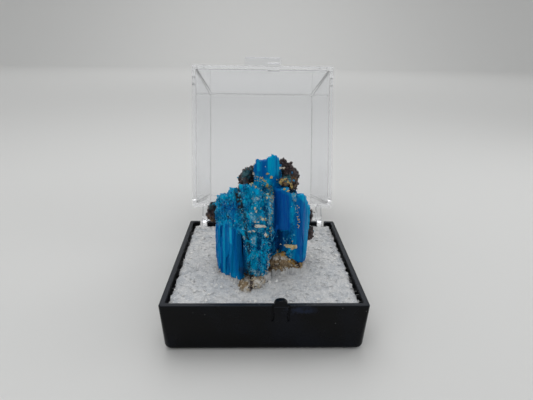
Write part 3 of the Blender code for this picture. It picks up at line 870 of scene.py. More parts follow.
def sample(
    points: np.ndarray, size: float | Sequence[float], value: Callable[[Vector], float]
) -> np.ndarray:
    """Read a noise at many points, its grain given in millimetres along X, Y and Z or all round."""
    scaled = points / (np.array(size) * MM)
    return np.array([value(Vector(row)) for row in scaled])


def cell_dome(point: Vector) -> float:
    """Measure how near a point is to its cell's middle: 1 at the middle, and 0 on the border."""
    near = noise.voronoi(point)[0]
    return min((near[1] - near[0]) * 1.6, 1.0)


def cell_step(point: Vector) -> float:
    """Give every cell a level of its own, between 0 and 1."""
    return noise.cell(noise.voronoi(point)[1][0] * 7.1)


def remeshed(node: str, name: str, voxel: float) -> bpy.types.Object:
    """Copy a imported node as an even, fine mesh.

    Args:
        node: The node's name.
        name: The new piece's name.
        voxel: Size of its faces, in millimetres.

    Returns:
        The new piece.
    """
    bm = bmesh.new()
    bm.from_mesh(frame["nodes"][node].data)
    bmesh.ops.remove_doubles(bm, verts=bm.verts, dist=0.001 * MM)
    piece = new_object(name, bm)
    remesh = piece.modifiers.new("Even faces", "REMESH")
    remesh.mode = "VOXEL"
    remesh.voxel_size = voxel * MM
    bake(piece)
    return piece


def soften(piece: bpy.types.Object, weights: np.ndarray, passes: int) -> None:
    """Smooth a piece, each point by its own weight.

    Args:
        piece: The piece.
        weights: One weight a point, from 0 to 1.
        passes: How many times it is smoothed.
    """
    group = piece.vertex_groups.new(name="soft")
    for level in range(1, 11):
        chosen = np.flatnonzero(np.round(weights * 10) == level)
        group.add(chosen.tolist(), level / 10, "REPLACE")
    smooth = piece.modifiers.new("Soften", "SMOOTH")
    smooth.factor = 0.5
    smooth.iterations = passes
    smooth.vertex_group = group.name
    bake(piece)
    piece.vertex_groups.clear()


def ridges(point: Vector) -> float:
    """Read a noise with sharp crests, about 1 on average."""
    return noise.ridged_multi_fractal(point, 0.9, 2.0, 4, 1.0, 2.0)


@dataclass(frozen=True)
class Relief:
    """One layer of unevenness on a surface.

    Attributes:
        size: The layer's grain along X, Y and Z, or all round, in millimetres.
        steps: How far its cells stand apart, in millimetres.
        domes: How far their middles stand up, in millimetres.
        waves: How far it swells up and down, in millimetres.
        crests: How high its sharp crests are, in millimetres.
    """

    size: float | tuple[float, float, float]
    steps: float = 0.0
    domes: float = 0.0
    waves: float = 0.0
    crests: float = 0.0

    def at(self, points: np.ndarray) -> np.ndarray:
        """Measure the layer's height.

        Args:
            points: Rows of x, y and z, in metres.

        Returns:
            One height a point, in millimetres.
        """
        kinds = (
            (self.steps, cell_step),
            (self.domes, cell_dome),
            (self.waves, noise.noise),
            (self.crests, ridges),
        )
        return sum(height * sample(points, self.size, value) for height, value in kinds if height)


@dataclass(frozen=True)
class Grains:
    """Small solids scattered over a piece by a geometry tree.

    Attributes:
        name: The piece that they make.
        shape: Their shape.
        mask: The host's mask that says where they grow.
        per_area: How many there are on a square millimetre where the mask is full.
        least: Their least size, in millimetres.
        most: Their greatest size, in millimetres.
        proud: How far their middles stand off the surface, in millimetres.
        seed: The seed of everything random about them.
        slot: The record's slot that their finish belongs to; not used.
        finish: What they are made of, or None for what their host is made of.
        lie: How they lie. Flakes lie on their faces, whatever this says.
        kinds: How many unlike solids there are.
    """

    name: str
    shape: GrainShape
    mask: str
    per_area: float
    least: float
    most: float
    proud: float
    seed: int
    slot: Slot
    finish: GrainFinish | None = None
    lie: Lie = Lie.ANYHOW
    kinds: int = 6

    def templates(self) -> bpy.types.Collection:
        """Make a few unlike solids of the shape, about 1 metre long each.

        Returns:
            A collection that holds them.
        """
        rng = random.Random(self.seed)
        collection = bpy.data.collections.new(f"{self.name}_shapes")
        for index in range(self.kinds):
            bm = bmesh.new()
            if self.shape is GrainShape.NEEDLE:
                bmesh.ops.create_cone(bm, cap_ends=True, segments=5, radius1=0.5, radius2=0.5, depth=1.0)
                for vert in bm.verts:
                    vert.co.z += 0.35 * vert.co.x * rng.choice((-1, 1))
                    vert.co.xy *= rng.uniform(0.75, 1.1)
            elif self.shape is GrainShape.CRUMB:
                bmesh.ops.create_icosphere(bm, subdivisions=1, radius=0.5)
                for vert in bm.verts:
                    vert.co *= rng.uniform(0.65, 1.15)
            else:
                bmesh.ops.create_cube(bm, size=1.0)
                slant = rng.uniform(-0.35, 0.35)
                corners = [(vert, rng.uniform(0.7, 1.0)) for vert in bm.verts]
                for vert, pull in corners:
                    vert.co.x += slant * vert.co.z
                    vert.co *= pull
                if self.shape is GrainShape.FLAKE:
                    bmesh.ops.scale(bm, vec=(1.0, 0.8, 0.16), verts=bm.verts)
            mesh = bpy.data.meshes.new(f"{self.name}_shape_{index}")
            bm.to_mesh(mesh)
            bm.free()
            collection.objects.link(bpy.data.objects.new(mesh.name, mesh))
        return collection

    def draw(self, tree: Tree, kind: Draw, low: object, high: object, step: int) -> Socket:
        """Draw a random value for each solid.

        Args:
            tree: The geometry tree.
            kind: What kind of value it is.
            low: The least value.
            high: The greatest value.
            step: What is added to the seed, so that no two draws are alike.

        Returns:
            The value.
        """
        first = 2 * kind.value
        inputs = {first: low, first + 1: high, "Seed": self.seed + step}
        return tree.add("FunctionNodeRandomValue", inputs, data_type=kind.name).outputs[kind.value]

    def turn(self, tree: Tree, surface: Socket) -> Socket:
        """Turn each solid the way that it lies.

        Args:
            tree: The geometry tree.
            surface: How the surface is turned where the solid stands.

        Returns:
            The turn.
        """
        if self.shape is not GrainShape.FLAKE:
            turn = self.draw(tree, Draw.FLOAT_VECTOR, *self.lie.value, step=1)
            return tree.add("FunctionNodeEulerToRotation", {0: turn}).outputs[0]
        turn = self.draw(tree, Draw.FLOAT_VECTOR, *Lie.ON_FACE.value, step=5)
        lay = tree.add("FunctionNodeEulerToRotation", {0: turn}).outputs[0]
        inputs = {"Rotation": surface, "Rotate By": lay}
        return tree.add("FunctionNodeRotateRotation", inputs, rotation_space="LOCAL").outputs[0]

    def tree(self, shapes: bpy.types.Collection, material: bpy.types.Material) -> bpy.types.NodeTree:
        """Build the geometry tree that scatters the solids.

        Args:
            shapes: The solids to choose from.
            material: What they are made of.

        Returns:
            The tree.
        """
        group = bpy.data.node_groups.new(f"{self.name}_scatter", "GeometryNodeTree")
        group.interface.new_socket(name="Geometry", in_out="INPUT", socket_type="NodeSocketGeometry")
        for key in ("Density", "Least size", "Most size", "Proud"):
            group.interface.new_socket(name=key, in_out="INPUT", socket_type="NodeSocketFloat")
        group.interface.new_socket(name="Geometry", in_out="OUTPUT", socket_type="NodeSocketGeometry")
        tree = Tree(group)
        given = tree.add("NodeGroupInput").outputs
        where = tree.add("GeometryNodeInputNamedAttribute", {"Name": self.mask}, data_type="FLOAT")
        density = tree.times(given["Density"], where.outputs["Attribute"])
        inputs = {"Mesh": given["Geometry"], "Density": density, "Seed": self.seed}
        points = tree.add("GeometryNodeDistributePointsOnFaces", inputs, distribute_method="RANDOM").outputs
        lift = tree.scaled(points["Normal"], given["Proud"])
        placed = tree.add("GeometryNodeSetPosition", {"Geometry": points["Points"], "Offset": lift})
        size = self.draw(tree, Draw.FLOAT, given["Least size"], given["Most size"], step=3)
        slim = (0.045, 0.045, 1.0) if self.shape is GrainShape.NEEDLE else (0.7, 0.8, 1.0)
        choice = tree.add("GeometryNodeCollectionInfo", {"Collection": shapes, "Separate Children": True})
        inputs = {
            "Points": placed.outputs[0],
            "Instance": choice.outputs[0],
            "Pick Instance": True,
            "Instance Index": self.draw(tree, Draw.INT, 0, self.kinds - 1, step=2),
            "Rotation": self.turn(tree, points["Rotation"]),
            "Scale": tree.scaled(slim, size),
        }
        instances = tree.add("GeometryNodeInstanceOnPoints", inputs).outputs[0]
        tint = self.draw(tree, Draw.FLOAT, 0.0, 1.0, step=4)
        inputs = {"Geometry": instances, "Name": "tint", "Value": tint}
        stored = tree.add("GeometryNodeStoreNamedAttribute", inputs, data_type="FLOAT", domain="INSTANCE")
        real = tree.add("GeometryNodeRealizeInstances", {0: stored.outputs[0]})
        dressed = tree.add("GeometryNodeSetMaterial", {"Geometry": real.outputs[0], "Material": material})
        tree.add("NodeGroupOutput", {0: dressed.outputs[0]})
        return group

    def grow(self, host: bpy.types.Object) -> None:
        """Scatter the solids over a host, dress them and tie them to the box's base.

        Args:
            host: The piece that they grow on.
        """
        material = self.finish.make() if self.finish else host.data.materials[0]
        shapes = self.templates()
        group = self.tree(shapes, material)
        piece = bpy.data.objects.new(self.name, host.data.copy())
        bpy.context.scene.collection.objects.link(piece)
        modifier = piece.modifiers.new("Scatter", "NODES")
        modifier.node_group = group
        values = {
            "Density": self.per_area / MM**2,
            "Least size": self.least * MM,
            "Most size": self.most * MM,
            "Proud": self.proud * MM,
        }
        for item in group.interface.items_tree:
            if item.in_out == "INPUT" and item.name in values:
                modifier[item.identifier] = values[item.name]
        bake(piece)
        for shape in list(shapes.objects):
            bpy.data.objects.remove(shape, do_unlink=True)
        bpy.data.collections.remove(shapes)
        hand_over(piece, material, Body.BASE)


@dataclass
class MouldedShell:
    """A square moulded shell with a rounded rim, open at its rim and closed at its end.

    Attributes:
        height: From the rim to the closed end, in millimetres.
        wall: Thickness, in millimetres.
        draft: How much each side leans in over the height, in millimetres.
        rim_z: Height of the rim, in millimetres.
        grows: 1 if the closed end is above the rim, or -1 if it is below.
        centre_y: Where the middle stands, in millimetres.
        rim_corner: Radius of its upright edges at the rim, in millimetres.
        end_corner: Their radius at the closed end, in millimetres.
        end_edge: Radius of the edge round the closed end, in millimetres.
        rim_edge: Radius of the rim's own edges, in millimetres.
        least_radius: The least radius of an inner edge, in millimetres.
        edge_thinning: How much less than the outer one the inner edge's radius is, in walls.
        corner_thinning: How much a corner's radius falls with each millimetre inwards.
        steps: Into how many steps the end's edge, the rim's edge and a corner are divided.
    """

    height: float
    wall: float
    draft: float
    rim_z: float
    grows: int
    centre_y: float = 0.0
    rim_corner: float = 0.35
    end_corner: float = 1.2
    end_edge: float = 0.9
    rim_edge: float = 0.14
    least_radius: float = 0.3
    edge_thinning: float = 0.6
    corner_thinning: float = 0.7
    steps: tuple[int, int, int] = (6, 3, 8)

    def section(self) -> list[tuple[float, float]]:
        """Draw the wall's section.

        Returns:
            Pairs of the inset from the outer face and the distance from the rim, from the outside of
            the closed end round the rim to the inside of it.
        """
        outer = self.end_edge
        inner = max(self.end_edge - self.wall * self.edge_thinning, self.least_radius)
        arc, rim_arc = (
            [math.radians(90 * step / count) for step in range(count + 1)] for count in self.steps[:2]
        )
        edge = self.rim_edge
        points = [(outer * (1 - math.sin(a)), self.height - outer * (1 - math.cos(a))) for a in arc]
        points += [(edge * (1 - math.cos(a)), edge * (1 - math.sin(a))) for a in rim_arc]
        points += [(self.wall - edge * (1 - math.sin(a)), edge * (1 - math.cos(a))) for a in rim_arc]
        floor = self.height - self.wall
        points += [(self.wall + inner * (1 - math.cos(a)), floor - inner * (1 - math.sin(a))) for a in arc]
        return points

    def ring(self, inset: float, depth: float) -> list[Vector]:
        """Draw the rounded square at one point of the section.

        Args:
            inset: Distance in from the outer face, in millimetres.
            depth: Distance from the rim, in millimetres.

        Returns:
            The ring's points, in metres.
        """
        half = BOX.half - self.draft * depth / self.height - inset
        corner = self.rim_corner + (self.end_corner - self.rim_corner) * depth / self.height
        radius = max(corner - inset * self.corner_thinning, self.least_radius)
        points = []
        for quarter in range(4):
            middle = math.radians(90 * quarter + 45)
            for step in range(self.steps[2] + 1):
                angle = math.radians(90 * quarter + 90 * step / self.steps[2])
                x = math.copysign(half - radius, math.cos(middle)) + radius * math.cos(angle)
                y = math.copysign(half - radius, math.sin(middle)) + radius * math.sin(angle)
                points.append(Vector((x, y + self.centre_y, self.rim_z + self.grows * depth)) * MM)
        return points

    def build(self, name: str) -> bpy.types.Object:
        """Loft the shell.

        Args:
            name: The object's name.

        Returns:
            The closed shell.
        """
        bm = bmesh.new()
        rings = [[bm.verts.new(point) for point in self.ring(*pair)] for pair in self.section()]
        for low, high in zip(rings, rings[1:]):
            for index in range(len(low)):
                after = (index + 1) % len(low)
                bm.faces.new((low[index], low[after], high[after], high[index]))
        bm.faces.new(rings[0])
        bm.faces.new(rings[-1])
        return new_object(name, bm)


def block(low: Sequence[float], high: Sequence[float], edge: float = 0.0) -> bpy.types.Object:
    """Make a block, with rounded edges if asked.

    Args:
        low: Its lowest corner, in millimetres.
        high: Its highest corner, in millimetres.
        edge: Radius of its edges, in millimetres.

    Returns:
        The block.
    """
    bm = bmesh.new()
    middle = (Vector(low) + Vector(high)) / 2 * MM
    size = (Vector(high) - Vector(low)) * MM
    bmesh.ops.create_cube(bm, size=1.0, matrix=Matrix.Translation(middle) @ Matrix.Diagonal((*size, 1.0)))
    if edge:
        bmesh.ops.bevel(bm, geom=bm.edges, offset=edge * MM, segments=4, profile=0.5, affect="EDGES")
    return new_object("block", bm)


def bar(radius: float, start_x: float, end_x: float, centre: Vector) -> bpy.types.Object:
    """Make a round bar along X.

    Args:
        radius: Its radius, in millimetres.
        start_x: Where it starts, in millimetres.
        end_x: Where it ends, in millimetres.
        centre: The middle of its axis at x = 0, in metres.

    Returns:
        The bar.
    """
    bm = bmesh.new()
    middle = Matrix.Translation(centre + Vector(((start_x + end_x) / 2 * MM, 0, 0)))
    bmesh.ops.create_cone(
        bm,
        cap_ends=True,
        segments=ROUND_SIDES,
        radius1=radius * MM,
        radius2=radius * MM,
        depth=abs(end_x - start_x) * MM,
        matrix=middle @ Matrix.Rotation(math.pi / 2, 4, "Y"),
    )
    return new_object("bar", bm)


def hull_plate(
    radius: float, corners: Sequence[Sequence[float]], xs: Sequence[float], centre: Vector
) -> bpy.types.Object:
    """Make a plate across X, hulled round a pivot and some corners.

    Args:
        radius: Radius of its round end, in millimetres.
        corners: Other corners as y and z from the pivot, in millimetres.
        xs: Where it starts and ends along X, in millimetres.
        centre: The pivot, in metres.

    Returns:
        The plate.
    """
    bm = bmesh.new()
    angles = np.linspace(0, math.tau, ROUND_SIDES, endpoint=False)
    ring = [(radius * math.cos(a), radius * math.sin(a)) for a in angles]
    verts = [bm.verts.new(centre + Vector((x, y, z)) * MM) for x in xs for y, z in [*ring, *corners]]
    hull = bmesh.ops.convex_hull(bm, input=verts)
    inside = [item for item in hull["geom_interior"] if isinstance(item, bmesh.types.BMVert)]
    bmesh.ops.delete(bm, geom=inside, context="VERTS")
    flat = [edge for edge in bm.edges if edge.is_manifold and edge.calc_face_angle(1) < 1e-4]
    bmesh.ops.dissolve_edges(bm, edges=flat, use_verts=False)
    return new_object("plate", bm)


def round_edges(obj: bpy.types.Object, width: float) -> None:
    """Break an object's sharp edges.

    Args:
        obj: The object.
        width: How wide the rounding is, in millimetres.
    """
    bevel = obj.modifiers.new("Broken edges", "BEVEL")
    bevel.width = width * MM
    bevel.segments = 2
    bevel.limit_method = "ANGLE"
    bevel.angle_limit = math.radians(40)
    bake(obj)


@dataclass
class Tray:
    """The black moulded tray with its catch tab, hinge ears and rim notches; sizes in millimetres."""

    wall: float = 0.85
    draft: float = 0.25
    ear_radius: float = 1.6
    ear_span: tuple[float, float] = (9.8, 11.0)
    ear_root: tuple[float, float] = (-1.0, -3.4)
    bore_radius: float = 0.85
    notch_x: float = 12.9
    notch_width: float = 1.6
    notch_depth: float = 1.3
    tab_x: float = 2.4
    tab_width: float = 2.1
    tab_proud: float = 0.35
    tab_above: float = 1.0
    tab_round: float = 0.85
    tab_below: float = 2.8
    tab_edge: float = 0.32
    tab_setback: float = 0.05
    tab_root: float = 1.0
    groove_width: float = 0.32
    groove_depth: float = 0.3
    broken_edge: float = 0.07
    overshoot: float = 1.0
    finish: BlackPlastic = field(default_factory=lambda: BlackPlastic("glossy_black_plastic"))

    def tab(self) -> list[bpy.types.Object]:
        """Make the catch tab: a round-topped tongue and the boss below it that the lid clicks on.

        Returns:
            The tongue and the boss.
        """
        left, right = self.tab_x - self.tab_width / 2, self.tab_x + self.tab_width / 2
        front = -BOX.half - self.tab_proud
        rim = BOX.tray_height
        tongue = block(
            (left, front + self.tab_setback, rim - self.tab_root),
            (right, front + self.tab_root, rim + self.tab_above),
        )
        bm = bmesh.new()
        bm.from_mesh(tongue.data)
        top = [edge for edge in bm.edges if min(vert.co.z for vert in edge.verts) > rim * MM]
        corners = [edge for edge in top if abs(edge.verts[0].co.y - edge.verts[1].co.y) > 0.5 * MM]
        bmesh.ops.bevel(bm, geom=corners, offset=self.tab_round * MM, segments=6, profile=0.5, affect="EDGES")
        bm.to_mesh(tongue.data)
        bm.free()
        boss = block(
            (left, front, rim - self.tab_below),
            (right, front + 1.05 * self.tab_root, rim + 0.02),
            edge=self.tab_edge,
        )
        return [tongue, boss]

    def build(self) -> None:
        """Make the whole tray."""
        rim = BOX.tray_height
        shell = MouldedShell(rim, self.wall, self.draft, rim, grows=-1)
        tray = shell.build("tray_moulding")
        corners = [(-BOX.pivot_behind - self.wall / 2, height) for height in self.ear_root]
        for side in (-1, 1):
            xs = [side * x for x in self.ear_span]
            combine(tray, hull_plate(self.ear_radius, corners, xs, BOX.pivot), Join.UNION)
            left, right = (side * self.notch_x + half * self.notch_width / 2 for half in (-1, 1))
            low = (left, BOX.half - 2 * self.wall, rim - self.notch_depth)
            high = (right, BOX.half + self.wall, rim + self.overshoot)
            combine(tray, block(low, high), Join.CUT)
        combine(tray, bar(self.bore_radius, -BOX.half, BOX.half, BOX.pivot), Join.CUT)
        for side in (-1, 1):
            middle = self.tab_x + side * (self.tab_width / 2 + self.groove_width / 2)
            low = (middle - self.groove_width / 2, -BOX.half - self.overshoot, rim - self.tab_below)
            high = (middle + self.groove_width / 2, -BOX.half + self.groove_depth, rim + self.overshoot)
            combine(tray, block(low, high), Join.CUT)
        for piece in self.tab():
            combine(tray, piece, Join.UNION)
        round_edges(tray, self.broken_edge)
        hand_over(tray, self.finish.make(), Body.BASE, "tray", sharp_angle=50, flat_faces=True)


@dataclass
class Lid:
    """The clear moulded lid with its thumb lip, tab slot and hinge arms; sizes in millimetres."""

    wall: float = 0.95
    draft: float = 0.5
    end_edge: float = 0.35
    arm_radius: float = 1.4
    arm_span: tuple[float, float] = (12.4, 13.4)
    arm_root: tuple[float, float] = (-0.6, 2.6)
    arm_sink: float = 0.75
    heel_radius: float = 1.0
    heel_flat: tuple[float, float] = (-0.7, -2.0)
    heel_tip: tuple[float, float] = (-0.9, -2.5)
    boss_radius: float = 1.25
    boss_start: float = 11.3
    pin_radius: float = 0.75
    pin_start: float = 9.5
    lip_width: float = 8.2
    lip_reach: float = 1.9
    lip_thickness: float = 1.0
    lip_setback: float = 0.12
    lip_edge: float = 0.3
    slot_x: float = 2.4
    slot_half: float = 1.35
    slot_front: float = 0.65
    slot_z: tuple[float, float] = (-1.0, 1.3)
    broken_edge: float = 0.06
    finish: ClearPlastic = field(default_factory=lambda: ClearPlastic("clear_plastic"))

    def arm(self, side: int) -> list[bpy.types.Object]:
        """Make what the lid turns on at one side.

        Args:
            side: -1 for the left, 1 for the right.

        Returns:
            The arm, its heel, its boss and its pin.
        """
        centre = Vector((0, 0, 0))
        xs = [side * x for x in self.arm_span]
        root = -BOX.pivot_behind - self.arm_sink * self.wall
        arm = hull_plate(self.arm_radius, [(root, z) for z in self.arm_root], xs, centre)
        flat_y = -BOX.pivot_behind + BOX.gap
        turn = Matrix.Rotation(math.radians(BOX.open_angle), 2)
        open_corners = [*((flat_y, z) for z in self.heel_flat), self.heel_tip]
        heel = hull_plate(self.heel_radius, [tuple(turn @ Vector(c)) for c in open_corners], xs, centre)
        inner = self.arm_span[0] + BOX.gap
        boss = bar(self.boss_radius, side * self.boss_start, side * inner, centre)
        pin = bar(self.pin_radius, side * self.pin_start, side * inner, centre)
        return [arm, heel, boss, pin]

    def build(self) -> None:
        """Make the lid closed about its hinge axis, and turn it open."""
        sizes = {"centre_y": -BOX.half - BOX.pivot_behind, "end_edge": self.end_edge}
        shell = MouldedShell(BOX.lid_height, self.wall, self.draft, BOX.gap, grows=1, **sizes)
        lid = shell.build("lid_moulding")
        front = -BOX.width - BOX.pivot_behind
        bottom = BOX.gap + self.lip_setback
        low = (-self.lip_width / 2, front - self.lip_reach, bottom)
        high = (self.lip_width / 2, front + self.wall / 2, bottom + self.lip_thickness)
        combine(lid, block(low, high, self.lip_edge), Join.UNION)
        for side in (-1, 1):
            for piece in self.arm(side):
                combine(lid, piece, Join.UNION)
        low = (self.slot_x - self.slot_half, front - self.slot_front, self.slot_z[0])
        high = (self.slot_x + self.slot_half, front + 2 * self.wall, self.slot_z[1])
        combine(lid, block(low, high), Join.CUT)
        round_edges(lid, self.broken_edge)
        turn = Matrix.Rotation(-math.radians(BOX.open_angle), 4, "X")
        lid.data.transform(Matrix.Translation(BOX.pivot) @ turn)
        hand_over(lid, self.finish.make(), Body.LID, "lid", sharp_angle=50, flat_faces=True)


@dataclass
class FoamPad:
    """The open-cell foam that fills the tray; sizes in millimetres.

    Attributes:
        below_rim: How far its top lies below the tray's rim.
        side_gap: Clearance from the tray's wall.
        wall: The tray's wall.
        thickness: Its thickness.
        taper: How much narrower each side is at the bottom.
        step: Size of its faces.
        cell: Size of its open cells.
        pit_depth: Depth of the deepest cells.
        crumb: The fine unevenness of its top.
        swell: The broad unevenness of its top.
        edge: How far the worn edge reaches in, and how deep it falls.
        edge_wave: The grain of the worn edge.
        tear: The grain of the torn outline.
        ragged: Depth of the torn outline.
        cool_shade_reach: How far the cooler grey, painted shade, reaches in from the edge.
        search: How far below the rim the specimen's underside is looked for, and how high from there.
        lift: The gap left under the specimen, negative as the pad stands into it, and the most it rises.
    """

    below_rim: float = 0.65
    side_gap: float = 0.3
    wall: float = 0.85
    thickness: float = 6.6
    taper: float = 0.25
    step: float = 0.125
    cell: float = 0.62
    pit_depth: float = 0.11
    crumb: Relief = Relief(0.3, waves=0.07)
    swell: Relief = Relief(4.5, waves=-0.14)
    edge: tuple[float, float] = (0.3, 0.4)
    edge_wave: float = 1.1
    tear: float = 0.8
    ragged: float = 0.22
    cool_shade_reach: float = 3.0
    search: tuple[float, float] = (3.0, 5.5)
    lift: tuple[float, float] = (-0.06, 1.2)
    finish: OpenFoam = field(default_factory=lambda: OpenFoam("open_cell_foam"))
    grains: tuple[Grains, ...] = (
        # Near-white flakes that paint the foam's glints.
        Grains(
            "foam_flakes", GrainShape.FLAKE, "open", 1.3, 0.25, 0.85, 0.06, 21, Slot.FOAM,
            GrainFinish("foam_flake", (0.92, 0.91, 0.88), (0.66, 0.67, 0.68), 0.3),
        ),
        Grains(
            "foam_fibres", GrainShape.NEEDLE, "open", 3.0, 0.5, 1.5, 0.02, 22, Slot.FOAM,
            GrainFinish("foam_fibre", (0.68, 0.685, 0.69), (0.5, 0.505, 0.51), 0.5), Lie.FLAT,
        ),
    )

    def blank(self, half: float, top: float) -> bpy.types.Object:
        """Make the pad's plain block, with its top in fine faces.

        Args:
            half: Half its width at the top, in millimetres.
            top: Height of its top, in millimetres.

        Returns:
            The block.
        """
        count = int(2 * half / self.step)
        bm = bmesh.new()
        bmesh.ops.create_grid(bm, x_segments=count, y_segments=count, size=half * MM)
        border = [edge for edge in bm.edges if edge.is_boundary]
        low = bmesh.ops.extrude_edge_only(bm, edges=border)["geom"]
        for vert in (item for item in low if isinstance(item, bmesh.types.BMVert)):
            vert.co.z = -self.thickness * MM
            vert.co.xy *= 1 - self.taper / half
        bmesh.ops.holes_fill(bm, edges=[edge for edge in bm.edges if edge.is_boundary])
        bmesh.ops.translate(bm, verts=bm.verts, vec=(0, 0, top * MM))
        return new_object("foam_block", bm)

    def build(self) -> None:
        """Make the pad with its torn, pitted top, and the flakes and fibres that glint on it; the flakes'
        near-white colour is painted glint.
        """
        half = BOX.half - self.wall - self.side_gap
        top = BOX.tray_height - self.below_rim
        pad = self.blank(half, top)
        points = points_of(pad.data)
        on_top = points[:, 2] > (top - 1) * MM
        flat = points.copy()
        flat[:, 2] = 0
        level = sample(flat, self.cell, cell_step)
        pit = smoothstep(sample(flat, self.cell, cell_dome) * 1.3) * level
        inward = half * MM - np.abs(points[:, :2]).max(axis=1)
        edge_width, edge_depth = self.edge
        worn = np.exp(-inward / (edge_width * MM)) * (0.5 + 0.7 * sample(flat, self.edge_wave, noise.noise))
        fall = self.pit_depth * pit + self.crumb.at(flat) + self.swell.at(flat) + edge_depth * worn
        points[on_top, 2] -= fall[on_top] * MM
        self.close_up(points, on_top)
        torn = 0.5 + 0.9 * np.abs(sample(flat, self.tear, noise.noise))
        shrink = 1 - self.ragged / half * np.clip(worn, 0, 1) * torn
        points[on_top, :2] *= shrink[on_top, None]
        move_points(pad.data, points)
        rear = smoothstep((points[:, 1] / MM - 2.0) / 10.0)
        # Painted shade: in the pits and at the worn edge, and near the walls and towards the back.
        set_mask(pad.data, "pit", pit + 0.35 * worn)
        set_mask(pad.data, "edge", np.exp(-inward / (self.cool_shade_reach * MM)) + 0.5 * rear)
        set_mask(pad.data, "open", np.where(on_top, 0.35 + 0.65 * level, 0.0))
        hand_over(pad, self.finish.make(), Body.BASE, "foam_pad", sharp_angle=35)
        for grains in self.grains:
            grains.grow(pad)

    def close_up(self, points: np.ndarray, on_top: np.ndarray) -> None:
        """Lift the pad against the underside of the specimen that it carries.

        Args:
            points: The pad's points, in metres, changed in place.
            on_top: Which of them are on its top.
        """
        bm = bmesh.new()
        for node in ("chalcanthite", "foot_crust", "host_rock"):
            bm.from_mesh(frame["nodes"][node].data)
        tree = BVHTree.FromBMesh(bm)
        bm.free()
        gap, most = self.lift
        start, reach = BOX.tray_height - self.search[0], self.search[1]
        for index in np.flatnonzero(on_top):
            x, y, z = points[index]
            hit = tree.ray_cast(Vector((x, y, start * MM)), Vector((0, 0, 1)), reach * MM)[0]
            if hit is not None and hit.z > z:
                points[index, 2] = min(hit.z - gap * MM, z + most * MM)


@dataclass(frozen=True)
class Chip:
    """A single flake or lump that sits on the front of the crystals.

    Attributes:
        x: Distance to the right of the middle, in millimetres.
        height: Height above the rim, in millimetres.
        size: Its width, its height and how far it stands out, in millimetres.
        tint: Its colour, from 0 for the finish's first to 1 for its second.
    """

    x: float
    height: float
    size: tuple[float, float, float]
    tint: float


@dataclass
class Chips:
    """Single flakes and lumps that are large enough to be told apart.

    Attributes:
        name: The piece that they make.
        finish: What they are made of.
        chips: The flakes and lumps.
        seed: The seed of their torn shapes.
        start: Where the search for the surface below a chip starts, in millimetres behind the rim.
        facing: How strongly each turns to the front and up.
        proud: How far a chip's middle stands off the surface, as a share of how far it stands out.
        radius: Radius of the ball that each is torn from, as a share of its size.
    """

    name: str
    finish: GrainFinish
    chips: tuple[Chip, ...]
    seed: int = 61
    start: float = -4.0
    facing: tuple[float, float, float] = (0, -1.2, 0.2)
    proud: float = 0.15
    radius: float = 0.62

    def shape(self, bm: bmesh.types.BMesh, chip: Chip, index: int, seat: Matrix) -> None:
        """Tear one chip from a ball.

        Args:
            bm: The mesh that takes it.
            chip: The chip.
            index: Its place in the list.
            seat: Where it sits and how it is turned.
        """
        tints = bm.verts.layers.float["tint"]
        size = Vector(chip.size) * MM
        for vert in bmesh.ops.create_icosphere(bm, subdivisions=3, radius=1.0)["verts"]:
            point = vert.co * 1.3 + Vector((index * 7.7, self.seed, 0))
            torn = 0.62 + 0.8 * noise.noise(point) + 0.5 * noise.noise(point * 3.1)
            vert[tints] = min(max(chip.tint + 0.5 * noise.noise(point * 2.3), 0.0), 1.0)
            vert.co = seat @ (vert.co * size * self.radius * torn)

    def build(self, hosts: Iterable[bpy.types.Object]) -> None:
        """Set every chip on the front of the hosts.

        Args:
            hosts: The pieces that they sit on.
        """
        ground = bmesh.new()
        for host in hosts:
            ground.from_mesh(host.data)
        tree = BVHTree.FromBMesh(ground)
        ground.free()
        bm = bmesh.new()
        bm.verts.layers.float.new("tint")
        for index, chip in enumerate(self.chips):
            hit, normal, _, _ = tree.ray_cast(place(chip.x, self.start, chip.height), Vector((0, 1, 0)))
            if hit is None:
                continue
            facing = (normal + Vector(self.facing)).normalized()
            turn = facing.to_track_quat("Z", "Y").to_matrix().to_4x4()
            out = chip.size[2] * MM * self.proud
            self.shape(bm, chip, index, Matrix.Translation(hit + facing * out) @ turn)
        hand_over(new_object(self.name, bm), self.finish.make(), Body.BASE, sharp_angle=28)


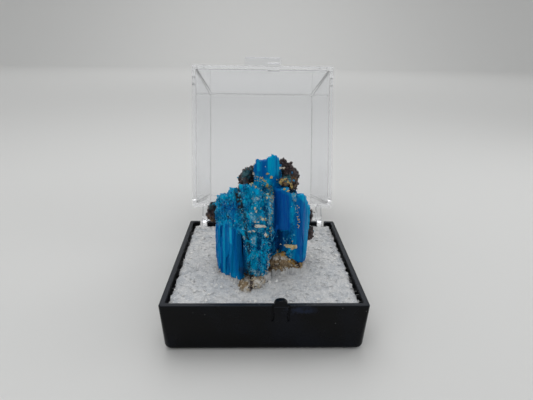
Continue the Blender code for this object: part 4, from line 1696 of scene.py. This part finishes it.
@dataclass
class Crystals:
    """The blue crystals: silky bundles to the left, right and top, and a granular middle one.

    Attributes:
        voxel: Size of the faces.
        plates: The tall plates of the silky bundles.
        fibre: The fibres on them.
        block: The blocks of the granular bundles.
        cluster: The clusters that the blocks stand in.
        rough: The broad unevenness of the granular bundles.
        fine: Their fine unevenness.
        sink: How far the plates, the silky and the granular surfaces are set back to leave room for it.
        smoothing: How often the solid's edges are softened.
        fill_depth: How far behind the rim the filled grooves lie.
        lean: How far back the fibres lean with each millimetre of height.
    """

    voxel: float = 0.124
    plates: Relief = Relief((0.95, 0.95, 9.0), steps=0.22, domes=0.1)
    fibre: Relief = Relief((0.3, 0.3, 3.2), steps=0.07)
    block: Relief = Relief((0.34, 0.34, 0.75), steps=0.22, domes=0.08)
    cluster: Relief = Relief((0.8, 0.8, 1.15), steps=0.26)
    rough: Relief = Relief((0.9, 0.9, 1.6), waves=0.18)
    fine: Relief = Relief((0.2, 0.2, 0.45), waves=0.07)
    sink: tuple[float, float, float] = (0.11, 0.04, 0.28)
    smoothing: int = 16
    fill_depth: float = 8.1
    lean: float = 0.05
    finish: BlueCrystal = field(default_factory=lambda: BlueCrystal("chalcanthite_blue_crystal"))
    grains: tuple[Grains, ...] = (
        Grains(
            "blue_grains", GrainShape.BLOCK, "granular", 5.0, 0.1, 0.34, 0.0, 31, Slot.CRYSTAL,
            lie=Lie.UPRIGHT,
        ),
        Grains(
            "ochre_grains", GrainShape.CRUMB, "ochre", 12.0, 0.1, 0.3, 0.06, 33, Slot.CRUST,
            GrainFinish("ochre_grain", (0.62, 0.42, 0.03), (0.8, 0.7, 0.35)),
        ),
        Grains(
            "pale_flakes", GrainShape.FLAKE, "pale", 7.0, 0.12, 0.42, 0.06, 34, Slot.CRUST,
            GrainFinish("pale_flake", (0.82, 0.85, 0.84), (0.3, 0.6, 0.7)),
        ),
        Grains(
            "white_sparks", GrainShape.FLAKE, "clusters", 3.6, 0.08, 0.22, 0.06, 35, Slot.CRUST,
            GrainFinish("white_spark", (0.75, 0.85, 0.88), (0.12, 0.5, 0.7), 0.2),
        ),
        Grains(
            "cyan_splinters", GrainShape.BLOCK, "clusters", 5.0, 0.1, 0.3, 0.04, 37, Slot.CRUST,
            GrainFinish("cyan_splinter", (0.0, 0.27, 0.55), (0.09, 0.55, 0.76), 0.25), Lie.UPRIGHT,
        ),
        Grains(
            "edge_crumbs", GrainShape.CRUMB, "crust", 20.0, 0.12, 0.36, 0.08, 36, Slot.CRUST,
            GrainFinish("edge_crumb", (0.75, 0.73, 0.7), (0.42, 0.34, 0.3)),
        ),
    )
    flake_finish: GrainFinish = GrainFinish("flake", (0.86, 0.84, 0.77), (0.62, 0.42, 0.07), 0.45)
    silky: tuple[Streak, ...] = (
        Streak(((-7.7, 0.0), (-7.4, 7.4)), 1.3),
        Streak(((-6.3, -0.3), (-6.2, 8.9)), 1.0),
        Streak(((-5.2, -0.3), (-5.1, 7.9)), 1.2),
        Streak(((-4.0, 0.8), (-4.2, 6.7)), 1.2),
        Streak(((-6.9, 7.4), (-7.0, 10.5)), 0.9, 0.45),
        Streak(((-5.6, 8.3), (-5.4, 11.8)), 0.9, 0.5),
        Streak(((-4.3, 7.0), (-4.5, 10.4)), 0.7, 0.4),
        Streak(((2.4, 7.8), (2.3, 14.8)), 1.1),
        Streak(((3.6, 7.6), (3.6, 14.6)), 1.1),
        Streak(((3.0, 4.2), (3.0, 7.2)), 1.3, 0.8),
        Streak(((4.6, 6.0), (4.7, 12.5)), 0.9, 0.55),
        Streak(((6.4, 1.8), (6.5, 12.6)), 1.9),
        Streak(((-0.9, 15.6), (-0.8, 18.6)), 1.5),
        Streak(((1.5, 16.4), (1.5, 19.6)), 1.9),
    )
    glassy: tuple[Streak, ...] = (
        Streak(((2.9, 8.2), (2.9, 14.0)), 1.6),
        Streak(((0.6, 16.5), (0.8, 19.0)), 2.4, 0.7),
        Streak(((6.4, 2.2), (6.5, 12.4)), 1.9, 0.5),
    )
    infill: tuple[Streak, ...] = (
        Streak(((-2.9, 8.6), (-2.75, 4.0), (-2.9, -0.5)), 1.3),
        Streak(((1.5, 8.0), (1.5, 4.0)), 0.8, 0.7),
    )
    deep: tuple[Streak, ...] = (
        Streak(((2.4, 8.4), (2.3, 13.6)), 1.0),
        Streak(((3.3, 8.2), (3.2, 13.0)), 1.2),
        Streak(((2.9, 14.2), (3.4, 14.0)), 0.9, 0.45),
        Streak(((-6.2, 12.0), (-4.7, 12.5)), 0.95, 0.5),
        Streak(((6.05, 12.2), (6.1, 8.2), (6.3, 3.6)), 0.85, 0.6),
        Streak(((-0.05, 19.0), (0.05, 15.7)), 0.6, 0.45),
        Streak(((-7.05, 8.0), (-7.2, 0.5)), 0.45, 0.4),
        Streak(((-8.1, 8.6), (-8.0, 1.0)), 0.4, 0.35),
    )
    shade: tuple[Streak, ...] = (
        Streak(((-3.85, 7.4), (-3.7, 4.0), (-3.5, 0.8)), 0.95, 0.6),
        Streak(((2.4, 6.9), (2.4, 4.2)), 1.1, 0.95),
        Streak(((3.95, 6.8), (4.0, 4.8)), 0.85, 0.55),
        Streak(((-0.95, 7.9), (-0.85, 5.4)), 0.55, 0.8),
        Streak(((1.2, 7.5), (1.35, 4.0)), 0.5, 0.8),
        Streak(((0.0, 13.7), (0.15, 11.5)), 0.45, 0.5),
        Streak(((-8.4, 9.2), (-7.7, 10.0)), 0.75, 0.55),
        Streak(((-2.9, 15.0), (-2.4, 13.0)), 0.7, 0.35),
        Streak(((1.75, 13.9), (1.8, 8.0)), 0.25, 0.5),
    )
    # Cyan tone, and painted sheen, highlights and glow along lit edges and ledges.
    cyan: tuple[Streak, ...] = (
        Streak(((-7.4, 8.7), (-6.6, 9.4), (-5.5, 9.5)), 0.42, 0.55),
        Streak(((-6.7, 13.5), (-4.5, 14.1)), 0.6, 0.7),
        Streak(((-7.5, 13.0), (-6.9, 14.1)), 0.5, 0.6),
        Streak(((-7.43, 8.2), (-7.5, 0.3)), 0.22, 0.4),
        Streak(((-6.66, 8.8), (-6.85, -0.3)), 0.26, 0.65),
        Streak(((-5.55, 8.6), (-5.53, 6.2)), 0.28),
        Streak(((-5.2, 6.0), (-5.15, 0.0)), 0.3, 0.35),
        Streak(((-3.57, 8.6), (-3.3, 7.3)), 0.45, 0.8),
        Streak(((-1.77, 7.2), (-1.77, 6.1)), 0.6, 0.8),
        Streak(((-1.88, 4.3), (-1.65, 0.9)), 0.65, 0.8),
        Streak(((-2.1, 11.1), (-1.8, 10.4)), 0.6, 0.8),
        Streak(((-2.6, 15.4), (-1.4, 15.9)), 0.8, 0.35),
        Streak(((2.4, 14.9), (3.7, 14.4)), 0.3, 0.6),
        Streak(((2.85, 7.35), (3.7, 7.35)), 0.2, 0.7),
        Streak(((4.43, 11.3), (4.45, 9.1)), 0.35, 0.6),
        Streak(((5.9, 13.6), (7.05, 12.4), (7.5, 10.8), (7.5, 8.7), (7.2, 5.3), (7.05, 2.5)), 0.55, 0.6),
        Streak(((1.1, 19.7), (1.3, 16.8)), 0.85, 0.85),
        Streak(((-2.4, 14.4), (-1.0, 13.2)), 1.1, 0.6),
        Streak(((-1.2, 12.4), (-0.5, 9.4)), 1.0, 0.4),
        Streak(((-0.9, 14.9), (0.5, 15.0)), 1.0, 0.85),
        Streak(((-1.0, 18.2), (-1.0, 17.2)), 0.35, 0.8),
        Streak(((2.25, 19.2), (2.2, 16.4)), 0.35, 0.5),
        Streak(((0.75, 13.2), (0.8, 9.4)), 0.17, 0.8),
        Streak(((1.33, 13.1), (1.42, 11.1)), 0.17, 0.6),
    )
    grime: tuple[Streak, ...] = (
        Streak(((-4.56, 15.5), (-4.25, 14.2), (-3.93, 12.5), (-3.77, 11.6)), 0.6),
        Streak(((-3.2, 11.0), (-3.03, 9.0), (-2.7, 6.5), (-2.52, 4.5)), 0.35, 0.8),
        Streak(((-2.58, 2.75), (-2.3, 0.1)), 0.4, 0.8),
        Streak(((-5.94, 10.4), (-5.8, 10.5)), 0.28, 0.9),
        Streak(((-5.9, 12.6), (-5.8, 12.6)), 0.2, 0.8),
        Streak(((-3.8, 1.5), (-2.9, 0.5)), 0.6, 0.45),
        Streak(((-0.7, 14.9), (0.1, 14.2)), 0.4, 0.4),
        Streak(((2.8, 16.4), (3.9, 15.7)), 0.7, 0.5),
    )
    pale: tuple[Streak, ...] = (
        Streak(((-1.56, 13.7), (-0.9, 13.8)), 0.5, 0.7),
        Streak(((-2.1, 11.1), (-1.8, 10.4)), 0.5, 0.6),
        Streak(((-1.77, 7.2), (-1.77, 6.1)), 0.4, 0.6),
        Streak(((-1.8, 1.2), (-0.6, 0.6)), 0.5, 0.8),
        Streak(((0.86, 13.2), (0.8, 9.4)), 0.3, 0.4),
        Streak(((4.61, 13.9), (5.0, 12.7)), 0.35, 0.5),
        Streak(((-3.3, 7.4), (-3.25, 7.0)), 0.25, 0.8),
    )
    crust: tuple[Streak, ...] = (
        Streak(((-8.05, 0.5), (-7.1, -0.6), (-5.6, -1.15), (-4.0, -1.1)), 0.42),
        Streak(((0.9, 3.94), (0.6, 2.38), (0.35, 1.3), (-0.3, 0.1), (-1.9, 0.2)), 0.3),
    )
    ochre: tuple[Streak, ...] = (
        Streak(((-1.9, 15.9), (-0.5, 15.6), (0.1, 15.0), (0.63, 14.3), (1.12, 13.4)), 0.6),
        Streak(((1.13, 13.2), (1.01, 10.9), (0.96, 9.2), (1.0, 7.4)), 0.32, 0.7),
        Streak(((5.37, 12.0), (5.6, 10.0), (5.87, 8.0)), 0.28),
        Streak(((4.61, 13.9), (5.0, 12.7)), 0.3, 0.5),
        Streak(((-0.5, 10.6), (0.3, 10.4)), 0.5, 0.5),
        Streak(((1.6, 15.6), (2.4, 15.2)), 0.4, 0.5),
    )
    flakes: tuple[Chip, ...] = (
        Chip(-0.75, 9.3, (1.5, 0.6, 0.4), 0.0),
        Chip(-0.2, 9.05, (0.6, 0.35, 0.3), 0.05),
        Chip(-1.35, 9.1, (0.6, 0.35, 0.3), 0.1),
        Chip(-1.94, 8.4, (1.1, 0.48, 0.35), 0.0),
        Chip(-2.45, 8.3, (0.5, 0.3, 0.3), 0.15),
        Chip(-1.64, 9.92, (0.9, 0.35, 0.3), 0.05),
        Chip(-1.0, 10.05, (0.5, 0.3, 0.3), 0.1),
        Chip(-1.56, 12.28, (0.35, 0.5, 0.3), 0.2),
        Chip(-1.4, 11.77, (0.35, 0.4, 0.3), 0.1),
        Chip(-0.68, 12.3, (0.35, 0.35, 0.3), 0.85),
        Chip(-0.36, 10.62, (0.5, 0.55, 0.35), 0.35),
        Chip(0.04, 10.41, (0.45, 0.4, 0.3), 0.8),
        Chip(0.16, 7.89, (0.38, 0.8, 0.3), 0.05),
        Chip(0.48, 7.24, (0.42, 0.5, 0.3), 0.85),
        Chip(-1.77, 16.34, (0.5, 0.5, 0.35), 0.1),
        Chip(0.47, 14.68, (0.55, 0.62, 0.45), 0.9),
        Chip(0.3, 14.0, (0.3, 0.4, 0.3), 0.5),
        Chip(-0.45, 15.9, (0.35, 0.35, 0.3), 0.7),
        Chip(-0.05, 15.4, (0.4, 0.3, 0.3), 0.85),
        Chip(1.05, 13.7, (0.3, 0.35, 0.3), 0.6),
        Chip(0.44, 16.61, (0.45, 0.32, 0.25), 0.95),
        Chip(-1.68, 18.0, (0.3, 0.25, 0.2), 0.4),
        Chip(1.09, 16.01, (0.5, 0.45, 0.35), 0.8),
        Chip(3.75, 4.62, (0.7, 0.45, 0.3), 0.3),
        Chip(4.35, 4.75, (1.0, 0.75, 0.5), 0.6),
        Chip(4.95, 4.55, (1.1, 0.9, 0.55), 0.75),
        Chip(5.4, 4.62, (0.6, 0.55, 0.4), 0.5),
        Chip(4.7, 4.2, (0.5, 0.35, 0.3), 0.3),
        Chip(4.8, 5.5, (0.25, 0.25, 0.2), 0.6),
        Chip(2.83, 4.75, (0.28, 0.24, 0.2), 0.0),
        Chip(2.6, 15.35, (0.5, 0.5, 0.5), 0.85),
        Chip(2.95, 15.65, (0.55, 0.4, 0.5), 0.9),
        Chip(3.4, 15.7, (0.6, 0.4, 0.5), 0.75),
        Chip(3.9, 15.4, (0.6, 0.45, 0.5), 0.9),
        Chip(4.3, 15.05, (0.55, 0.5, 0.5), 0.8),
        Chip(4.5, 14.5, (0.5, 0.6, 0.5), 0.9),
        Chip(4.3, 13.9, (0.45, 0.5, 0.45), 0.7),
        Chip(3.75, 14.25, (0.5, 0.35, 0.4), 0.75),
        Chip(3.2, 14.6, (0.45, 0.35, 0.4), 0.9),
        Chip(2.75, 14.95, (0.4, 0.4, 0.4), 0.8),
        Chip(2.6, 17.3, (0.7, 0.4, 0.35), 0.05),
        Chip(3.15, 17.2, (0.6, 0.35, 0.35), 0.1),
    )

    def relief(self, points: np.ndarray, silky: np.ndarray, glassy: np.ndarray) -> np.ndarray:
        """Work out how far each point stands off the plain columns.

        Args:
            points: The points, in metres.
            silky: How silky each is.
            glassy: How smooth the silk is.

        Returns:
            One distance a point, in millimetres.
        """
        plumb = points.copy()
        plumb[:, 1] -= self.lean * (points[:, 2] - BOX.tray_height * MM)
        plate_sink, silk_sink, grain_sink = self.sink
        plates = (1 - 0.75 * glassy) * (self.plates.at(plumb) + self.fibre.at(plumb) - plate_sink)
        grains = sum(layer.at(plumb) for layer in (self.block, self.cluster, self.rough, self.fine))
        return silky * (plates - silk_sink) + (1 - silky) * (grains - grain_sink)

    def fill_grooves(self, points: np.ndarray, normals: np.ndarray) -> None:
        """Bring the bottoms of the grooves between the bundles forward.

        Args:
            points: The points, in metres, changed in place.
            normals: Their normals.
        """
        behind = points[:, 1] / MM + BOX.half
        facing = smoothstep((0.4 - normals[:, 1]) / 0.6)
        share = 0.85 * strongest(self.infill, front_places(points)) * facing
        points[:, 1] -= share * np.maximum(behind - self.fill_depth, 0.0) * MM

    def build(self) -> None:
        """Make the crystals, and the grains and flakes on them."""
        piece = remeshed("chalcanthite", "chalcanthite_crystals", self.voxel)
        mesh_places = front_places(points_of(piece.data))
        silky = strongest(self.silky, mesh_places)
        soften(piece, 0.25 + 0.75 * silky, self.smoothing)
        points = points_of(piece.data)
        self.fill_grooves(points, normals_of(piece.data))
        move_points(piece.data, points)
        foot = smoothstep((mesh_places[:, 1] + 0.1) / 1.2)
        relief = self.relief(points, silky, strongest(self.glassy, mesh_places))
        points += normals_of(piece.data) * (relief * MM * (0.4 + 0.6 * foot))[:, None]
        move_points(piece.data, points)
        places = front_places(points)
        for name in ("deep", "shade", "cyan", "grime", "pale", "ochre", "crust"):
            set_mask(piece.data, name, strongest(getattr(self, name), places))
        bunched = smoothstep(0.35 + 3.0 * sample(points, (1.0, 1.0, 1.6), noise.noise))
        set_mask(piece.data, "silky", silky)
        set_mask(piece.data, "granular", 1 - silky)
        set_mask(piece.data, "clusters", (1 - silky) * bunched)
        hand_over(piece, self.finish.make(), Body.BASE, "chalcanthite", sharp_angle=30)
        for grains in self.grains:
            grains.grow(piece)
        hosts = (piece, bpy.data.objects["host_rock_mass"])
        Chips("single_flakes", self.flake_finish, self.flakes).build(hosts)


@dataclass
class HostRock:
    """The dark broken rock behind the crystals.

    Attributes:
        voxel: Size of the faces.
        sink: How far the surface is set back to leave room for its relief.
        crests: Its broad crests.
        chips: Its broken faces.
        fine: Its fine unevenness.
    """

    voxel: float = 0.14
    sink: float = 0.282
    crests: Relief = Relief(1.5, crests=0.16)
    chips: Relief = Relief(0.62, steps=0.34, domes=0.24)
    fine: Relief = Relief(0.26, waves=0.1)
    finish: BrokenRock = field(default_factory=lambda: BrokenRock("broken_host_rock"))
    grains: tuple[Grains, ...] = (
        Grains(
            "rock_chips", GrainShape.CRUMB, "granular", 5.0, 0.18, 0.55, 0.05, 41, Slot.ROCK,
            GrainFinish("rock_chip", (0.012, 0.009, 0.009), (0.11, 0.07, 0.068), 0.4),
        ),
        Grains(
            "rock_blue_grains", GrainShape.BLOCK, "granular", 0.3, 0.15, 0.45, 0.05, 42, Slot.CRYSTAL,
            GrainFinish("loose_blue_grain", (0.0, 0.16, 0.42), (0.02, 0.34, 0.55)),
        ),
    )
    rust: tuple[Streak, ...] = (
        Streak(((2.2, 14.4), (4.6, 14.8)), 1.3),
        Streak(((-9.35, 8.6), (-8.9, 8.1)), 0.7),
    )
    stain: tuple[Streak, ...] = (
        Streak(((-9.1, 11.2), (-8.0, 10.6)), 1.3),
        Streak(((2.86, 16.4), (3.9, 15.7)), 0.6),
        Streak(((-3.1, 15.6), (-2.7, 17.6)), 0.9, 0.7),
    )

    def build(self) -> None:
        """Make the rock, and the chips and grains on it."""
        piece = remeshed("host_rock", "host_rock_mass", self.voxel)
        points = points_of(piece.data)
        faces = sample(points, self.chips.size, cell_step)
        push = self.crests.at(points) + self.chips.at(points) + self.fine.at(points) - self.sink
        held = smoothstep((points[:, 2] / MM - BOX.tray_height + 1.0) / 0.8)
        points += normals_of(piece.data) * (push * MM * held)[:, None]
        move_points(piece.data, points)
        places = front_places(points)
        for name in ("rust", "stain"):
            set_mask(piece.data, name, strongest(getattr(self, name), places))
        back = smoothstep((points[:, 1] / MM + 1.0) / 2.0)
        set_mask(piece.data, "granular", 0.5 - 0.2 * back * faces)
        hand_over(piece, self.finish.make(), Body.BASE, "host_rock", sharp_angle=28)
        for grains in self.grains:
            grains.grow(piece)


@dataclass
class FootCrust:
    """The tan and whitish crust under the crystals.

    Attributes:
        voxel: Size of the faces.
        sink: How far the surface is set back to leave room for its relief.
        layers: Its crests, its broken faces and its fine unevenness.
    """

    voxel: float = 0.12
    sink: float = 0.058
    layers: tuple[Relief, ...] = (
        Relief(0.9, crests=0.14),
        Relief(0.5, steps=0.22),
        Relief(0.2, waves=0.05),
    )
    finish: TanCrust = field(default_factory=lambda: TanCrust("tan_foot_crust"))
    grains: tuple[Grains, ...] = (
        Grains(
            "crust_crumbs", GrainShape.BLOCK, "open", 4.0, 0.12, 0.45, 0.03, 51, Slot.CRUST,
            GrainFinish("crust_crumb", (0.62, 0.58, 0.5), (0.42, 0.3, 0.15)),
        ),
        Grains(
            "crust_dark_bits", GrainShape.CRUMB, "open", 1.6, 0.12, 0.4, 0.03, 52, Slot.CRUST,
            GrainFinish("crust_dark_bit", (0.03, 0.025, 0.022), (0.12, 0.07, 0.06)),
        ),
    )
    rust: tuple[Streak, ...] = (
        Streak(((1.0, 3.4), (2.8, 3.5), (4.4, 2.8), (5.4, 2.0), (6.4, 1.1)), 1.1),
    )
    white: tuple[Streak, ...] = (
        Streak(((-2.9, -0.4), (-1.6, 0.2), (-0.2, -0.1)), 0.6),
        Streak(((1.5, 2.7), (2.6, 2.6), (3.6, 2.4)), 0.35, 0.9),
        Streak(((-3.9, -0.9), (-3.2, -1.3)), 0.4, 0.5),
    )
    # Painted shade of holes that the mesh doesn't cut.
    hole: tuple[Streak, ...] = (
        Streak(((-2.1, 0.5), (-2.15, -1.0)), 0.35),
        Streak(((-3.9, -0.6), (-3.6, -1.3), (-2.9, -1.5)), 0.3, 0.8),
        Streak(((1.9, 1.4), (2.5, 1.3)), 0.3, 0.9),
        Streak(((5.6, 1.2), (6.1, 0.7)), 0.32),
        Streak(((0.4, 1.0), (1.2, 0.7)), 0.3, 0.9),
        Streak(((1.5, 3.0), (2.1, 2.9)), 0.18, 0.7),
    )

    def build(self) -> None:
        """Make the crust, and the pale and dark crumbs on it."""
        piece = remeshed("foot_crust", "foot_crust_mass", self.voxel)
        points = points_of(piece.data)
        push = sum(layer.at(points) for layer in self.layers) - self.sink
        points += normals_of(piece.data) * (push * MM)[:, None]
        move_points(piece.data, points)
        places = front_places(points)
        for name in ("rust", "white", "hole"):
            set_mask(piece.data, name, strongest(getattr(self, name), places))
        set_mask(piece.data, "open", np.where(points[:, 2] > (BOX.tray_height - 0.7) * MM, 0.6, 0.0))
        hand_over(piece, self.finish.make(), Body.BASE, "foot_crust", sharp_angle=28)
        for grains in self.grains:
            grains.grow(piece)


@dataclass(frozen=True)
class Panel:
    """A soft square light.

    Attributes:
        name: The light's name.
        place: Where it hangs, in millimetres.
        size: Its width, in millimetres.
        watts: Its power.
        aim: What it faces, in millimetres.
    """

    name: str
    place: tuple[float, float, float]
    size: float
    watts: float
    aim: tuple[float, float, float] = (0, 0, 12)

    def hang(self) -> None:
        """Hang the light where it faces its aim."""
        lamp = bpy.data.lights.new(self.name, "AREA")
        lamp.shape = "SQUARE"
        lamp.size = self.size * MM
        lamp.energy = self.watts
        obj = bpy.data.objects.new(self.name, lamp)
        obj.location = Vector(self.place) * MM
        ahead = Vector(self.aim) * MM - obj.location
        obj.rotation_euler = ahead.to_track_quat("-Z", "Y").to_euler()
        bpy.context.scene.collection.objects.link(obj)


@dataclass
class Studio:
    """The pale sweep that the box stands on, the light round it and the camera.

    Attributes:
        floor: The sweep's colour.
        floor_roughness: Its roughness.
        front: Where the sweep starts, in metres, as all its sizes are.
        depth: Where it starts to curve up.
        bend: Radius of the curve.
        bend_steps: Into how many steps the curve is divided.
        top: Height of its wall.
        half_width: Half its width.
        sky: The colour of the light from all round.
        ambient: The strength of the light from all round.
        bounces: How often light may bounce, so that the lid's walls don't end black.
        panels: The soft lights.
        camera_place: Where the camera stands, in millimetres.
        pitch: How far it looks down, in degrees.
        yaw: How far it looks to the right, in degrees.
        roll: How far it is turned about its view, in degrees.
        focal_pixels: Its focal length in the photograph's pixels.
    """

    floor: Colour = (0.7, 0.7, 0.69)
    floor_roughness: float = 0.75
    front: float = -0.9
    depth: float = 0.9
    bend: float = 0.3
    bend_steps: int = 24
    top: float = 1.4
    half_width: float = 2.4
    sky: Colour = (0.985, 0.995, 1.0)
    ambient: float = 0.55
    bounces: int = 20
    panels: tuple[Panel, ...] = (
        Panel("top_panel", (-30, 60, 230), 180, 0.155),
        Panel("front_left_panel", (-150, -170, 120), 90, 0.045),
        Panel("right_panel", (190, 30, 110), 90, 0.05),
        Panel("backdrop_panel", (0, 690, 500), 620, 1.2, aim=(0, 690, 0)),
    )
    camera_place: tuple[float, float, float] = (-1.406, -66.634, 44.372)
    pitch: float = 20.595
    yaw: float = 1.587
    roll: float = 0.853
    focal_pixels: float = 403.98

    def sweep(self) -> None:
        """Make the floor, which curves up into a wall far behind the box."""
        profile = [(self.front, 0.0), (self.depth, 0.0)]
        for step in range(1, self.bend_steps + 1):
            angle = math.radians(90 * step / self.bend_steps)
            profile.append((self.depth + self.bend * math.sin(angle), self.bend * (1 - math.cos(angle))))
        profile.append((self.depth + self.bend, self.top))
        bm = bmesh.new()
        rows = [[bm.verts.new((x, y, z)) for x in (-self.half_width, self.half_width)] for y, z in profile]
        for low, high in zip(rows, rows[1:]):
            bm.faces.new((low[0], low[1], high[1], high[0]))
        floor = new_object("floor_sweep", bm)
        floor.data.shade_smooth()
        material = bpy.data.materials.new("pale_floor")
        material.use_nodes = True
        coat = Coat(material)
        coat.give("Base Color", (*self.floor, 1.0))
        coat.give("Roughness", self.floor_roughness)
        floor.data.materials.append(material)

    def aim_camera(self) -> None:
        """Set the camera where the photograph was taken from."""
        pitch, yaw, roll = (math.radians(angle) for angle in (self.pitch, self.yaw, self.roll))
        ahead = Vector((math.sin(yaw) * math.cos(pitch), math.cos(yaw) * math.cos(pitch), -math.sin(pitch)))
        level = Vector((math.cos(yaw), -math.sin(yaw), 0))
        up = level.cross(ahead)
        right = math.cos(roll) * level + math.sin(roll) * up
        above = -math.sin(roll) * level + math.cos(roll) * up
        camera = bpy.data.objects.new("camera", bpy.data.cameras.new("camera"))
        bpy.context.scene.collection.objects.link(camera)
        turn = Matrix((right, above, -ahead)).transposed().to_4x4()
        camera.matrix_world = Matrix.Translation(Vector(self.camera_place) * MM) @ turn
        camera.data.sensor_width = SENSOR_WIDTH
        camera.data.lens = self.focal_pixels * SENSOR_WIDTH / PHOTO_WIDTH
        camera.data.clip_start = 1 * MM
        camera.data.clip_end = 10.0
        bpy.context.scene.camera = camera

    def build(self) -> None:
        """Set up the floor, the light and the camera."""
        self.sweep()
        world = bpy.data.worlds.new("soft_room")
        world.use_nodes = True
        background = world.node_tree.nodes["Background"]
        background.inputs["Color"].default_value = (*self.sky, 1.0)
        background.inputs["Strength"].default_value = self.ambient
        bpy.context.scene.world = world
        bpy.context.scene.view_settings.view_transform = "Standard"
        for panel in self.panels:
            panel.hang()
        paths = bpy.context.scene.cycles
        paths.max_bounces = paths.transmission_bounces = paths.glossy_bounces = self.bounces
        self.aim_camera()


def main() -> None:
    """Build every piece in order."""
    logging.basicConfig(level=logging.INFO, format="%(message)s")
    Studio().build()
    for part in (Tray(), Lid(), FoamPad(), FootCrust(), HostRock(), Crystals()):
        part.build()


if __name__ == "__main__":
    main()
